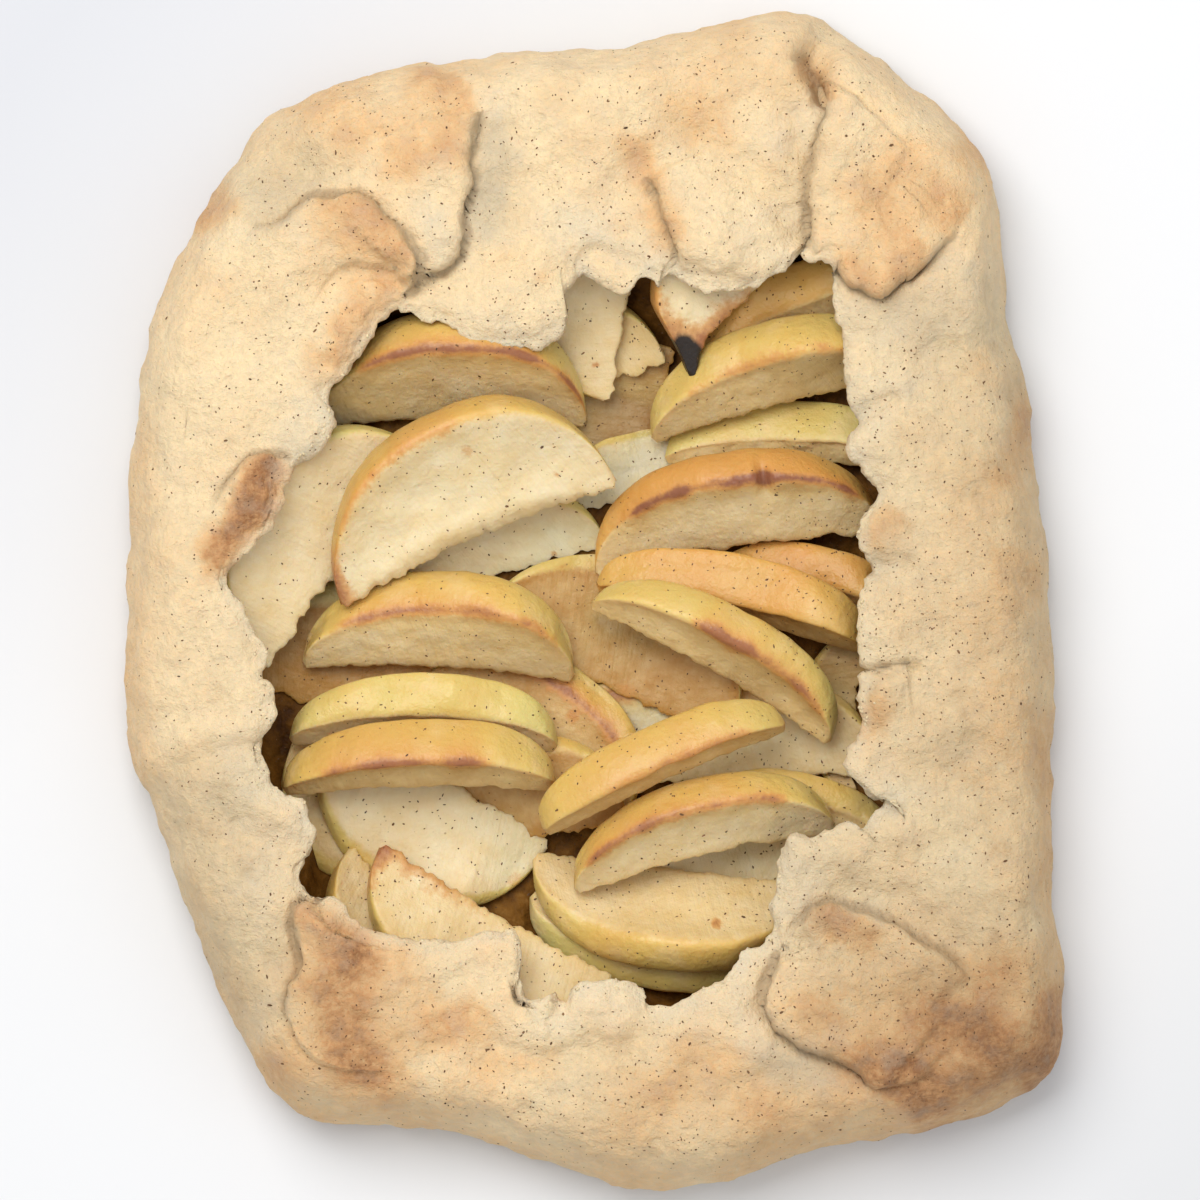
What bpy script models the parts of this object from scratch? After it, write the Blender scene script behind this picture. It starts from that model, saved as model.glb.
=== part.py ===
"""An apple galette: one sheet of pastry folded in over a heap of baked apple slices.

+Z is up, X runs along the short side and Y along the long side, and the origin is under
the middle of the flat base. Shapes are worked out in millimetres and made in metres.
"""

import math

import bmesh
import bpy
import numpy as np
from mathutils import Matrix, Vector

MM = 0.001

# Pastry
DOUGH = 4.5  # thickness of the rolled sheet where it folds over
FLOOR = 4.0  # thickness of the baked base
RIM_HEIGHT = 36.0  # height of the folded rim away from any lump
SHOULDER = 13.0  # how far in from the outline the side wall has turned level
GAP = 0.35  # clearance between pieces that touch
MIDDLE = (-6.0, -4.0)  # the middle of the opening
SECTIONS = 96  # the bed of apple has half as many
TOP_ROWS = 8

# Apple slices
CORE_RADIUS = 11.0  # the cored hole of the whole apple
SCOOP = 3.0  # how far the core cut bows into a slice
PLUMP = 0.4  # how far the middle of a cut face stands proud
STATIONS = (-0.98, -0.84, -0.56, -0.2, 0.2, 0.56, 0.84, 0.98)  # along the half length
SLICE_EASE = 0.02  # how much less a slice may be pressed for each millimetre away
BED_EASE = 0.08
BED_TOP = 12.0  # the soft, juicy apple under the slices

# Grid that the heap settles on
CELL = 0.5
HALF_X, HALF_Y = 128.0, 156.0

# The outline of the galette, anticlockwise from the right
OUTLINE = (
    (110, 0), (109, 12), (108, 22), (106, 35), (104.5, 48), (103, 57), (100, 66), (99, 75),
    (98, 85), (96.5, 99), (92, 110), (83, 119), (70, 129.5), (58, 138.5), (53, 141), (48, 141.5),
    (40, 140.5), (30, 138.5), (20, 136.7), (10, 134), (0, 132.5), (-16, 132.7), (-29, 130),
    (-36, 128.8), (-41, 129.8), (-52, 127), (-62, 124), (-71, 120), (-80, 115), (-89.5, 100),
    (-95.5, 90), (-105.5, 70), (-109.5, 50), (-111.5, 30), (-112, 10), (-112.5, -10),
    (-112.5, -25), (-110, -42), (-106, -50), (-100, -69), (-93, -86), (-87, -100), (-80, -114),
    (-72, -122.5), (-60, -126), (-45, -126.5), (-30, -129), (-10, -136), (5, -140.5),
    (15, -141.8), (30, -140.5), (50, -133.5), (75, -128), (92, -124.5), (106, -117),
    (112.3, -109), (112.5, -92), (110.5, -70), (111, -55), (110, -42), (110.8, -20),
)

# The torn inner edge of the folded pastry, anticlockwise from the right
MOUTH = (
    (63, 1), (66.5, 6.5), (62.5, 12), (63, 19), (66.5, 24), (64.5, 31), (61, 37), (63, 42),
    (60.5, 50), (60, 62), (57.5, 70), (57, 78.5), (52, 81.5), (49.5, 85), (44.5, 78), (36, 73.5),
    (28, 72.8), (22, 74), (19, 77.5), (15.5, 73.8), (10, 76.5), (4, 80.2), (-4, 81.5), (-6, 76),
    (-8.5, 70), (-6, 65), (-8.5, 61.5), (-16, 59.2), (-25, 59.5), (-33, 62.5), (-38, 65.2),
    (-46, 68.5), (-53, 62.5), (-58, 56.5), (-61, 50), (-66, 49), (-63.5, 43), (-64, 37.5),
    (-71, 32), (-75, 26), (-81, 15.5), (-87, 6), (-85, -1), (-78.5, -11), (-79.5, -17.5),
    (-75.8, -24), (-77.5, -32.5), (-77.5, -38), (-75, -46), (-67.5, -51.5), (-66.5, -59),
    (-69, -66), (-64.5, -70.5), (-57, -76.5), (-48, -81), (-35, -81.5), (-20.5, -79.5),
    (-17.5, -85), (-16.5, -94), (-10, -94.3), (-3, -91), (7, -91), (13, -95.5), (20, -96.8),
    (30, -92.5), (35, -86), (40.5, -81), (42.5, -72), (44.5, -62), (51, -57.3), (63, -54.5),
    (69, -49), (62, -44), (60, -38), (63, -29), (65, -17.5), (63.5, -6),
)

# Folds: the raised edge's line, its height, and how far behind it the step has faded out.
# The raised flap is on the left-hand side of the line.
FOLDS = {
    "top_left_flap": ([(-45, 72), (-41, 75.5), (-33, 81), (-30, 88), (-28.5, 100), (-28, 115),
                       (-31, 126), (-40, 132)], 5.0, 34),
    "left_lobe": ([(-47, 71), (-41, 79), (-44, 86), (-52, 94), (-60, 97), (-69, 95),
                   (-80, 87), (-90, 84)], 5.0, 30),
    "top_right_flap": ([(49, 142), (52, 128), (56, 116), (51, 106), (50.5, 90), (53, 81),
                        (60, 77), (67, 73), (74, 76), (83, 84), (90, 92), (94, 100)], 6.0, 30),
    "corner_flap_end": ([(44, -84), (40.5, -93), (42, -102), (50, -108.5), (60, -112),
                         (68, -117), (78, -124)], 5.0, 34),
    "corner_flap_top": ([(90, -90), (76, -80), (64, -75.5), (55, -73.5), (48, -77),
                         (44, -84)], 4.0, 22),
    "lower_left_flap": ([(-65, -70), (-72, -77), (-71, -88), (-74, -100),
                         (-78, -113)], 4.5, 34),
}

# Hollows and lumps in the pastry: x, y, radius, height
LUMPS = (
    (-73, 104, 10, -6.0), (-78, 93, 7, -2.5), (51, 127, 5, -6.5), (54, 119, 4, -4.0),
    (12, 100, 7, -2.5), (35, 103, 8, -1.8), (85, 56, 13, -2.5), (76, -77, 7, -3.0),
    (-97, 30, 9, -2.0), (-95, -24, 9, -2.0), (-84, -88, 9, -2.5), (96, -46, 8, -2.0),
    (32, 88, 13, 2.5), (-92, 4, 12, 2.0), (70, 98, 14, 2.0), (60, -92, 12, 2.5),
    (0, 118, 20, 2.0), (-48, -98, 16, 2.5), (28, -112, 18, 2.0), (88, 10, 16, 1.5),
)

# Slices from the bottom of the heap to the top: the middle of the core edge (x, y), the
# height of the highest point, the heading of the slice in degrees, how far its peeled back is
# lifted, its length tip to tip, its depth from core edge to back, and its back's thickness.
SLICES = (
    (-63, -24, 21, -20, 24, 50, 20, 10),
    (12, 42, 22, 68, 12, 40, 18, 7),
    (66, -27, 22, 82, 8, 40, 15, 8),
    (50, -3, 24, -10, 52, 50, 17, 11),
    (-50, -42, 20, 155, 12, 48, 19, 9),
    (1, 51, 25, 22, 18, 36, 17, 9),
    (17, 20, 24, 1, 0, 60, 20, 7),
    (9, -40, 22, -3, 16, 45, 20, 9),
    (41, -42, 25, 3, 18, 55, 22, 10),
    (-24, 2, 28, 22, 26, 60, 24, 11),
    (-57, 7, 31, 48, 15, 66, 33, 13),
    (3, -18, 27, -25, 20, 66, 28, 9),
    (8, 70, 30, 78, 12, 46, 20, 11),
    (46, 33, 29, -2, 52, 58, 18, 12),
    (-18, -38, 27, -38, 32, 60, 24, 11),
    (16, -77, 25, 170, 40, 64, 18, 12),
    (32, -67, 25, -2, 26, 50, 19, 9),
    (48, -58, 27, -15, 36, 52, 17, 10),
    (50, 60, 30, 22, 48, 58, 20, 12),
    (44.5, 46, 32, 14, 46, 63, 24, 14),
    (-34.5, 42, 32, 0, 44, 66, 28, 13),
    (-14, -54, 27, 3, 15, 44, 17, 9),
    (-37, -45, 29, 152, 16, 60, 26, 11),
    (-38, -80, 28, 135, 30, 58, 22, 11),
    (-23, -75, 29, 150, 14, 65, 24, 11),
    (35, 11, 34, 9, 36, 70, 26, 13),
    (33, -4, 34, -13, 60, 67, 19, 14),
    (-37.5, -17.5, 33, -3, 42, 66, 27, 15),
    (-41, -35, 33, -2, 50, 65, 20, 13),
    (-42, -45, 36, 1, 48, 66, 17, 15),
    (28, -18, 36, -30, 45, 67, 19, 12),
    (18, -66, 31, 173, 36, 66, 25, 12),
    (27, -63, 35, 13, 38, 65, 21, 12),
    (44, 76, 33, 44, 14, 62, 28, 12),
    (-27, 12, 38, 24, 19, 73, 34.5, 14),
    (17, -43, 37, 24, 55, 64, 14, 13),
)

CRUST_COLOUR = (0.83, 0.68, 0.45)
APPLE_COLOUR = (0.86, 0.70, 0.33)
BED_COLOUR = (0.36, 0.20, 0.07)


def clear_scene():
    for old in list(bpy.data.objects):
        bpy.data.objects.remove(old)


def make_material(name, colour, roughness):
    material = bpy.data.materials.new(name)
    material.use_nodes = True
    shader = material.node_tree.nodes["Principled BSDF"]
    shader.inputs["Base Color"].default_value = (*colour, 1.0)
    shader.inputs["Roughness"].default_value = roughness
    shader.inputs["Metallic"].default_value = 0.0
    return material


def finish_object(name, shape, collection, material, sharp_degrees=40):
    """Makes a bmesh in millimetres an object in metres, smooth but for its sharp edges."""
    bmesh.ops.triangulate(shape, faces=shape.faces)
    bmesh.ops.transform(shape, matrix=Matrix.Scale(MM, 4), verts=shape.verts)
    mesh = bpy.data.meshes.new(name)
    shape.to_mesh(mesh)
    shape.free()
    mesh.shade_smooth()
    mesh.set_sharp_from_angle(angle=math.radians(sharp_degrees))
    mesh.materials.append(material)
    made = bpy.data.objects.new(name, mesh)
    collection.objects.link(made)
    return made


# ---- Smooth closed outlines ----

def closed_curve(points, count):
    """Evenly spaced points along a smooth closed curve through the given ones."""
    knots = np.array(points, float)
    before, after = np.roll(knots, 1, 0), np.roll(knots, -1, 0)
    beyond = np.roll(knots, -2, 0)
    t = (np.arange(8) / 8)[:, None, None]
    fine = 0.5 * (2 * knots + (after - before) * t
                  + (2 * before - 5 * knots + 4 * after - beyond) * t ** 2
                  + (3 * knots - before - 3 * after + beyond) * t ** 3)
    fine = fine.transpose(1, 0, 2).reshape(-1, 2)
    fine = np.vstack([fine, fine[:1]])
    along = np.concatenate([[0], np.hypot(*np.diff(fine, axis=0).T).cumsum()])
    at = np.linspace(0, along[-1], count, endpoint=False)
    return np.array([np.interp(at, along, fine[:, axis]) for axis in (0, 1)])


def outline_facing(mouth, reach=5):
    """The point of the outline that each point of the mouth faces, away from the middle."""
    bearing = np.unwrap(np.arctan2(mouth[1] - MIDDLE[1], mouth[0] - MIDDLE[0]))
    lap = 2 * math.pi
    around = np.concatenate([bearing[-2 * reach:] - lap, bearing, bearing[:2 * reach] + lap])
    window = np.hanning(2 * reach + 3)[1:-1]
    around = np.convolve(around, window / window.sum(), "same")
    bearing = around[2 * reach:-2 * reach]
    edge = closed_curve(OUTLINE, 720)
    angle = np.arctan2(edge[1] - MIDDLE[1], edge[0] - MIDDLE[0]) % lap
    order = np.argsort(angle)
    radius = np.hypot(edge[0] - MIDDLE[0], edge[1] - MIDDLE[1])[order]
    radius = np.interp(bearing % lap, angle[order], radius, period=lap)
    return np.array([MIDDLE[0] + radius * np.cos(bearing), MIDDLE[1] + radius * np.sin(bearing)])


# ---- Apple slices ----

def face_outwards(shape):
    """Turns all faces of a closed shape outwards."""
    bmesh.ops.recalc_face_normals(shape, faces=shape.faces)
    if shape.calc_volume(signed=True) < 0:
        bmesh.ops.reverse_faces(shape, faces=shape.faces)


def slice_section(station, length, depth, thickness):
    """The ring of points round a slice at one station along it: along the lower cut face from
    core to back, over the peeled back, and along the upper cut face to the core again. X runs
    tip to tip, +Y towards the peeled back, and the core edge is at Y = 0."""
    swell = 1 - station * station
    core = CORE_RADIUS + SCOOP * swell
    back = CORE_RADIUS + depth * swell ** 0.6
    half = thickness / (CORE_RADIUS + depth) / 2
    middle = (core + back) / 2
    plump = half + PLUMP / middle
    ring = [(core, -half), (middle, -plump), (back, -half), (back + 0.4, 0.0),
            (back, half), (middle, plump), (core, half)]
    return [(station * length / 2, r * math.cos(turn) - CORE_RADIUS, r * math.sin(turn))
            for r, turn in ring]


def slice_shape(length, depth, thickness):
    """A wedge of a cored apple, lying flat."""
    shape = bmesh.new()
    rings = [[shape.verts.new(p) for p in slice_section(station, length, depth, thickness)]
             for station in STATIONS]
    for near, far in zip(rings, rings[1:]):
        for i in range(len(near)):
            j = (i + 1) % len(near)
            shape.faces.new((near[i], near[j], far[j], far[i]))
    shape.faces.new(rings[0][::-1])
    shape.faces.new(rings[-1])
    face_outwards(shape)
    return shape


def posed_slice(x, y, top, heading, lift, length, depth, thickness):
    shape = slice_shape(length, depth, thickness)
    turn = Matrix.Rotation(math.radians(heading), 4, "Z")
    turn = turn @ Matrix.Rotation(math.radians(lift), 4, "X")
    bmesh.ops.transform(shape, matrix=Matrix.Translation((x, y, 0)) @ turn, verts=shape.verts)
    rise = top - max(v.co.z for v in shape.verts)
    bmesh.ops.translate(shape, vec=(0, 0, rise), verts=shape.verts)
    return shape


# ---- The heap ----

def corners_and_triangles(shape):
    """The shape's points and triangles as arrays. Its faces become triangles."""
    bmesh.ops.triangulate(shape, faces=shape.faces)
    shape.verts.index_update()
    corners = np.array([v.co[:] for v in shape.verts])
    return corners, np.array([[v.index for v in f.verts] for f in shape.faces])


def grid_axes():
    return np.arange(-HALF_X, HALF_X, CELL), np.arange(-HALF_Y, HALF_Y, CELL)


def cells_of(corners, triangle):
    """The grid window under a triangle, with the triangle's height over each cell of it, and
    whether each lies inside. None for a triangle seen edge-on from above."""
    a, b, c = corners[triangle]
    (ax, ay), (bx, by), (cx, cy) = ((p[:2] + (HALF_X, HALF_Y)) / CELL for p in (a, b, c))
    area = (bx - ax) * (cy - ay) - (by - ay) * (cx - ax)
    if abs(area) < 1e-6:
        return None
    x0, y0 = int(min(ax, bx, cx)), int(min(ay, by, cy))
    x1, y1 = int(max(ax, bx, cx)) + 2, int(max(ay, by, cy)) + 2
    gx, gy = np.meshgrid(np.arange(x0, x1), np.arange(y0, y1), indexing="ij")
    share_b = ((gx - ax) * (cy - ay) - (gy - ay) * (cx - ax)) / area
    share_c = ((bx - ax) * (gy - ay) - (by - ay) * (gx - ax)) / area
    inside = (share_b >= -0.02) & (share_c >= -0.02) & (share_b + share_c <= 1.02)
    height = a[2] + share_b * (b[2] - a[2]) + share_c * (c[2] - a[2])
    return np.s_[x0:x1, y0:y1], inside, height


def spread(field, cells, widest=np.minimum):
    """Each cell's smallest (or largest) value within so many cells along X and Y."""
    for axis in (0, 1):
        found = field.copy()
        for step in range(1, cells + 1):
            for sign in (-step, step):
                found = widest(found, np.roll(field, sign, axis))
        field = found
    return field


def lower_ceiling(ceiling, corners, triangles):
    """Brings the ceiling down to the underside of a piece, and a little round it."""
    under = np.full(ceiling.shape, np.inf)
    for triangle in triangles:
        found = cells_of(corners, triangle)
        if found:
            window, inside, height = found
            under[window] = np.minimum(under[window], np.where(inside, height, np.inf))
    np.minimum(ceiling, spread(under, 2), out=ceiling)


def press(shape, ceiling, floor, ease):
    """Squeezes a soft piece down towards the floor until all of it clears the ceiling. How far
    a point is squeezed changes by no more than the ease for each millimetre across."""
    corners, triangles = corners_and_triangles(shape)
    full = corners[:, 2] - floor
    across = corners[:, None, :2] - corners[None, :, :2]
    slack = ease * np.hypot(across[..., 0], across[..., 1])
    squeeze = np.ones(len(corners))
    for _ in range(60):
        corners[:, 2] = floor + full * squeeze
        pushed = squeeze.copy()
        for triangle in triangles:
            found = cells_of(corners, triangle)
            if found is None:
                continue
            window, inside, height = found
            room = ceiling[window] - GAP - floor
            tall = inside & (height - floor > room)
            if tall.any():
                share = max((room[tall] / (height - floor)[tall]).min() - 0.004, 0.5)
                pushed[triangle] = np.minimum(pushed[triangle], squeeze[triangle] * share)
        if (pushed == squeeze).all():
            break
        squeeze = (pushed + slack).min(axis=1)
    for v, z in zip(shape.verts, corners[:, 2]):
        v.co.z = z
    return corners, triangles


def heap_up(ceiling):
    """Lays the slices from the top of the heap down, each pressed under those above it."""
    laid = []
    for numbers in reversed(SLICES):
        shape = posed_slice(*numbers)
        corners, triangles = press(shape, ceiling, FLOOR + GAP + 1.5, SLICE_EASE)
        lower_ceiling(ceiling, corners, triangles)
        laid.append(shape)
    return laid[::-1]


# ---- Pastry heights ----

def distance_to_line(x, y, line):
    """Distance of each point to a line of points, signed: positive on its left-hand side."""
    nearest = np.full(np.shape(x), np.inf)
    side = np.zeros(np.shape(x))
    for (ax, ay), (bx, by) in zip(line, line[1:]):
        dx, dy = bx - ax, by - ay
        along = np.clip(((x - ax) * dx + (y - ay) * dy) / (dx * dx + dy * dy), 0, 1)
        ox, oy = x - ax - along * dx, y - ay - along * dy
        away = np.hypot(ox, oy)
        closer = away < nearest
        nearest = np.where(closer, away, nearest)
        side = np.where(closer, np.sign(dx * oy - dy * ox), side)
    return nearest * side


def end_fade(x, y, line, reach=14.0):
    """0 at a line's last point, rising to 1 within reach of it, so that a fold dies away."""
    away = np.hypot(x - line[-1][0], y - line[-1][1])
    return np.clip(away / reach, 0, 1)


def fold_steps(x, y):
    """How much the folded-over flaps add to the pastry's height at each point."""
    total = np.zeros(np.shape(x))
    for line, height, fade in FOLDS.values():
        inside = distance_to_line(x, y, line)
        back = np.clip(1 - inside / fade, 0, 1)
        edge = np.clip(inside / 1.5, 0, 1)
        total = total + height * edge * back * back * (3 - 2 * back) * end_fade(x, y, line)
    return total


def lump_heights(x, y):
    total = np.zeros(np.shape(x))
    for lx, ly, radius, height in LUMPS:
        total = total + height * np.exp(-((x - lx) ** 2 + (y - ly) ** 2) / radius ** 2)
    return total


def pastry_top(x, y):
    """The height of the folded pastry's upper surface, without its fold steps."""
    return RIM_HEIGHT + lump_heights(x, y)


# ---- Crust ----

# The side wall's section: how far in from the outline, and its share of the rim's height
WALL = ((6.0, 0.0), (1.1, 0.08), (0.0, 0.28), (1.5, 0.54), (5.5, 0.82), (SHOULDER, 0.97))
# The same on the inside, from under the fold down to the floor
HOLLOW = ((SHOULDER, 0.79), (7.5, 0.56), (6.5, 0.28), (10.5, FLOOR / RIM_HEIGHT))
# The bed of apple keeps this far in from the crust's hollow
BED_CLEARANCE = 1.6


def pulled_to_folds(x, y, reach=3.5):
    """Moves points that lie near a fold's edge towards it, so that its step is steep."""
    for line, height, _ in FOLDS.values():
        nudge = 0.01
        inside = distance_to_line(x, y, line)
        slope_x = (distance_to_line(x + nudge, y, line) - inside) / nudge
        slope_y = (distance_to_line(x, y + nudge, line) - inside) / nudge
        share = np.clip(np.abs(inside) / reach, 0, 1)
        wanted = np.sign(inside) * reach * share ** 2
        moved = np.where(np.abs(inside) < reach, wanted - inside, 0)
        moved = np.clip(moved, -1.6, 1.6) * end_fade(x, y, line)
        x, y = x + slope_x * moved, y + slope_y * moved
    return x, y


def section_points(inner, outer, inset):
    """Points this far in from the outline along each section."""
    reach = np.hypot(*(inner - outer))
    return outer + (inner - outer) * (inset / reach)


def crust_rings():
    """Rings from the middle of the crust's underside, out, up, over the fold, round the torn
    edge and back down inside to the middle of its floor, and how many lead up to the torn
    edge."""
    inner = closed_curve(MOUTH, SECTIONS)
    outer = outline_facing(inner)
    centre = np.array(MIDDLE)[:, None]
    shoulder_line = section_points(inner, outer, SHOULDER)
    shoulder = pastry_top(*shoulder_line)
    base = centre + (outer - centre) * 0.5

    def level(height):
        return np.full(SECTIONS, height)

    rings = [(*base, level(0.0))]
    rings += [(*section_points(inner, outer, inset), shoulder * share) for inset, share in WALL]
    for row in range(1, TOP_ROWS + 1):
        share = row / TOP_ROWS
        x, y = shoulder_line + (inner - shoulder_line) * share * 0.97
        x, y = pulled_to_folds(x, y) if row < TOP_ROWS else (x, y)
        z = pastry_top(x, y) * (1 - 0.03 * (1 - share) ** 2) + fold_steps(x, y)
        rings.append((x, y, z))
    to_edge = len(rings)
    step = fold_steps(x, y)
    rings.append((*inner, z - step / 2 - DOUGH * 0.5))
    rings.append((*(inner + (shoulder_line - inner) * 0.04), z - step - DOUGH))
    for share in (0.36, 0.7):
        x, y = inner + (shoulder_line - inner) * share
        rings.append((x, y, pastry_top(x, y) * 0.985 - DOUGH))
    rings += [(*section_points(inner, outer, inset), shoulder * share) for inset, share in HOLLOW]
    rings.append((*base, level(FLOOR)))
    return rings, to_edge


def closed_shape(rings, low_middle, high_middle):
    """A closed bmesh through the rings, capped at both ends round a middle point."""
    shape = bmesh.new()
    loops = [[shape.verts.new(p) for p in zip(*ring)] for ring in rings]
    first, last = shape.verts.new(low_middle), shape.verts.new(high_middle)
    count = len(loops[0])
    for i in range(count):
        j = (i + 1) % count
        for low, high in zip(loops, loops[1:]):
            shape.faces.new((low[i], low[j], high[j], high[i]))
        shape.faces.new((first, loops[0][j], loops[0][i]))
        shape.faces.new((last, loops[-1][i], loops[-1][j]))
    face_outwards(shape)
    return shape


def crust_shape(rings):
    return closed_shape(rings, (*MIDDLE, 0.0), (*MIDDLE, FLOOR))


def ceiling_under_fold(rings, to_edge):
    """The underside of the folded pastry over the grid: no ceiling at all in the opening."""
    xs, ys = grid_axes()
    ceiling = np.full((len(xs), len(ys)), np.inf)
    shape = bmesh.new()
    loops = [[shape.verts.new(p) for p in zip(*ring)] for ring in rings[to_edge - 1:-3]]
    for i in range(SECTIONS):
        j = (i + 1) % SECTIONS
        for low, high in zip(loops, loops[1:]):
            shape.faces.new((low[i], low[j], high[j], high[i]))
    lower_ceiling(ceiling, *corners_and_triangles(shape))
    shape.free()
    return ceiling


# ---- Bed of soft apple ----

BED_SHARES = (0.25, 0.48, 0.68, 0.85, 1.0)  # rings across the opening, then under the fold


def bed_shape(ceiling):
    """Soft apple that fills the pastry below the slices and under the folded rim."""
    inner = closed_curve(MOUTH, SECTIONS)
    outer = outline_facing(inner)[:, ::2]
    inner = inner[:, ::2]
    centre = np.array(MIDDLE)[:, None]
    height = pastry_top(*section_points(inner, outer, SHOULDER))
    walls = [(*section_points(inner, outer, inset + BED_CLEARANCE), height * share)
             for inset, share in HOLLOW[::-1]]
    walls[0] = (*walls[0][:2], np.full(height.shape, FLOOR + GAP))
    full = 0.87 * RIM_HEIGHT
    rings = walls + [(*(inner + (outer - inner) * share), np.full(height.shape, full))
                     for share in (0.5, 0.22)]
    for share in reversed(BED_SHARES):
        x, y = centre + (inner - centre) * share
        relief = 0.9 * np.sin(x / 5.0) * np.cos(y / 6.0)
        rings.append((x, y, BED_TOP + relief + (10 if share == 1.0 else 0)))
    shape = closed_shape(rings, (*MIDDLE, FLOOR + GAP), (*MIDDLE, BED_TOP))
    press(shape, ceiling, FLOOR + GAP, BED_EASE)
    return shape


def main():
    clear_scene()
    galette = bpy.data.collections.new("apple_galette")
    bpy.context.scene.collection.children.link(galette)
    crust_material = make_material("pastry", CRUST_COLOUR, 0.72)
    apple_material = make_material("apple", APPLE_COLOUR, 0.42)
    bed_material = make_material("bed", BED_COLOUR, 0.35)

    rings, to_edge = crust_rings()
    ceiling = ceiling_under_fold(rings, to_edge)
    for number, shape in enumerate(heap_up(ceiling), 1):
        finish_object(f"slice_{number:02d}", shape, galette, apple_material, 35)
    finish_object("apple_bed", bed_shape(ceiling), galette, bed_material, 50)
    finish_object("crust", crust_shape(rings), galette, crust_material, 40)


main()
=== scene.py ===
import math

import bmesh
import bpy
import numpy as np
from mathutils import Euler, Matrix, Vector, noise
from mathutils.bvhtree import BVHTree


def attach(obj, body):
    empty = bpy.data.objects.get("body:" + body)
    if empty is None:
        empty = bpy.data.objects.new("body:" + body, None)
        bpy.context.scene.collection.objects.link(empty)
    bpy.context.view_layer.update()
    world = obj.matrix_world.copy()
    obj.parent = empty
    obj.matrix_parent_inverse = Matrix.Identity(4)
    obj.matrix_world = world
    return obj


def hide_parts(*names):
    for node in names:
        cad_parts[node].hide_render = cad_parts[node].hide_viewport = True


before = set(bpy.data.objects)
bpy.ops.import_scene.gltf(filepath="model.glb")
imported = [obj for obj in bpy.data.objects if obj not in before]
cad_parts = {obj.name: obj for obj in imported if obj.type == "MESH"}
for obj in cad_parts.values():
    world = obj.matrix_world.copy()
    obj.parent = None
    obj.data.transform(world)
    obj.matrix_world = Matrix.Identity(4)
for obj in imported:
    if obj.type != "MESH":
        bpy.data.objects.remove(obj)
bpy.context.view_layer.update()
mm = 0.001
print("frame loaded:", len(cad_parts), "nodes")

# lengths are in millimetres until a mesh is made


def noiseAt(points, size, seed=0):
    # smooth noise, about -1 to 1, for an array of points
    shifted = np.asarray(points, float) / size + (seed * 7.31, seed * 3.17, seed * 5.73)
    flat = shifted.reshape(-1, 3)
    return np.array([noise.noise(p) for p in flat.tolist()]).reshape(shifted.shape[:-1])


def gridNoise(first, second, third, size, seed):
    # noise over a grid, where a coordinate may be one number for all of it
    return noiseAt(np.stack(np.broadcast_arrays(first, second, third), -1), size, seed)


def flatNoise(x, y, size, seed=0):
    return noiseAt(np.stack([x, y, np.full(np.shape(x), seed * 1.7)], -1), size, seed)


def smoothStep(value, low, high):
    t = np.clip((value - low) / (high - low), 0, 1)
    return t * t * (3 - 2 * t)


def throughPoints(points, steps, closed):
    # a smooth curve through given points, so many steps from one to the next
    knots = np.array(points, float)
    if closed:
        before, after, beyond = (np.roll(knots, s, 0) for s in (1, -1, -2))
    else:
        padded = np.vstack([2 * knots[0] - knots[1], knots, 2 * knots[-1] - knots[-2]])
        before, knots, after, beyond = padded[:-3], padded[1:-2], padded[2:-1], padded[3:]
    t = (np.arange(steps) / steps)[:, None, None]
    fine = 0.5 * (2 * knots + (after - before) * t
                  + (2 * before - 5 * knots + 4 * after - beyond) * t ** 2
                  + (3 * knots - before - 3 * after + beyond) * t ** 3)
    fine = fine.transpose(1, 0, 2).reshape(-1, knots.shape[1])
    return fine if closed else np.vstack([fine, after[-1]])


def closedCurve(points, count):
    # evenly spaced points round a smooth closed curve
    fine = throughPoints(points, 8, True)
    fine = np.vstack([fine, fine[:1]])
    along = np.concatenate([[0], np.hypot(*np.diff(fine, axis=0).T).cumsum()])
    at = np.linspace(0, along[-1], count, endpoint=False)
    return np.array([np.interp(at, along, fine[:, axis]) for axis in (0, 1)])


def awayFrom(x, y, line):
    # signed distance to a line of points, positive on its left, and the share of the way along
    nearest = np.full(np.shape(x), np.inf)
    side, place = np.zeros(np.shape(x)), np.zeros(np.shape(x))
    count = len(line) - 1
    for i, ((ax, ay), (bx, by)) in enumerate(zip(line, line[1:])):
        dx, dy = bx - ax, by - ay
        share = np.clip(((x - ax) * dx + (y - ay) * dy) / (dx * dx + dy * dy), 0, 1)
        ox, oy = x - ax - share * dx, y - ay - share * dy
        away = ox * ox + oy * oy
        closer = away < nearest
        nearest = np.where(closer, away, nearest)
        side = np.where(closer, np.sign(dx * oy - dy * ox), side)
        place = np.where(closer, (i + share) / count, place)
    return np.sqrt(nearest) * side, place


def strokes(x, y, marks, power=2):
    # soft marks: each a line or one point, how wide, and how strong; a higher power sharpens the edge
    total = np.zeros(np.shape(x))
    for points, width, strength in marks:
        if len(points) == 1:
            away = np.hypot(x - points[0][0], y - points[0][1])
        else:
            away = np.abs(awayFrom(x, y, throughPoints(points, 3, False))[0])
        total = total + strength * np.exp(-(away / width) ** power)
    return total


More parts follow.
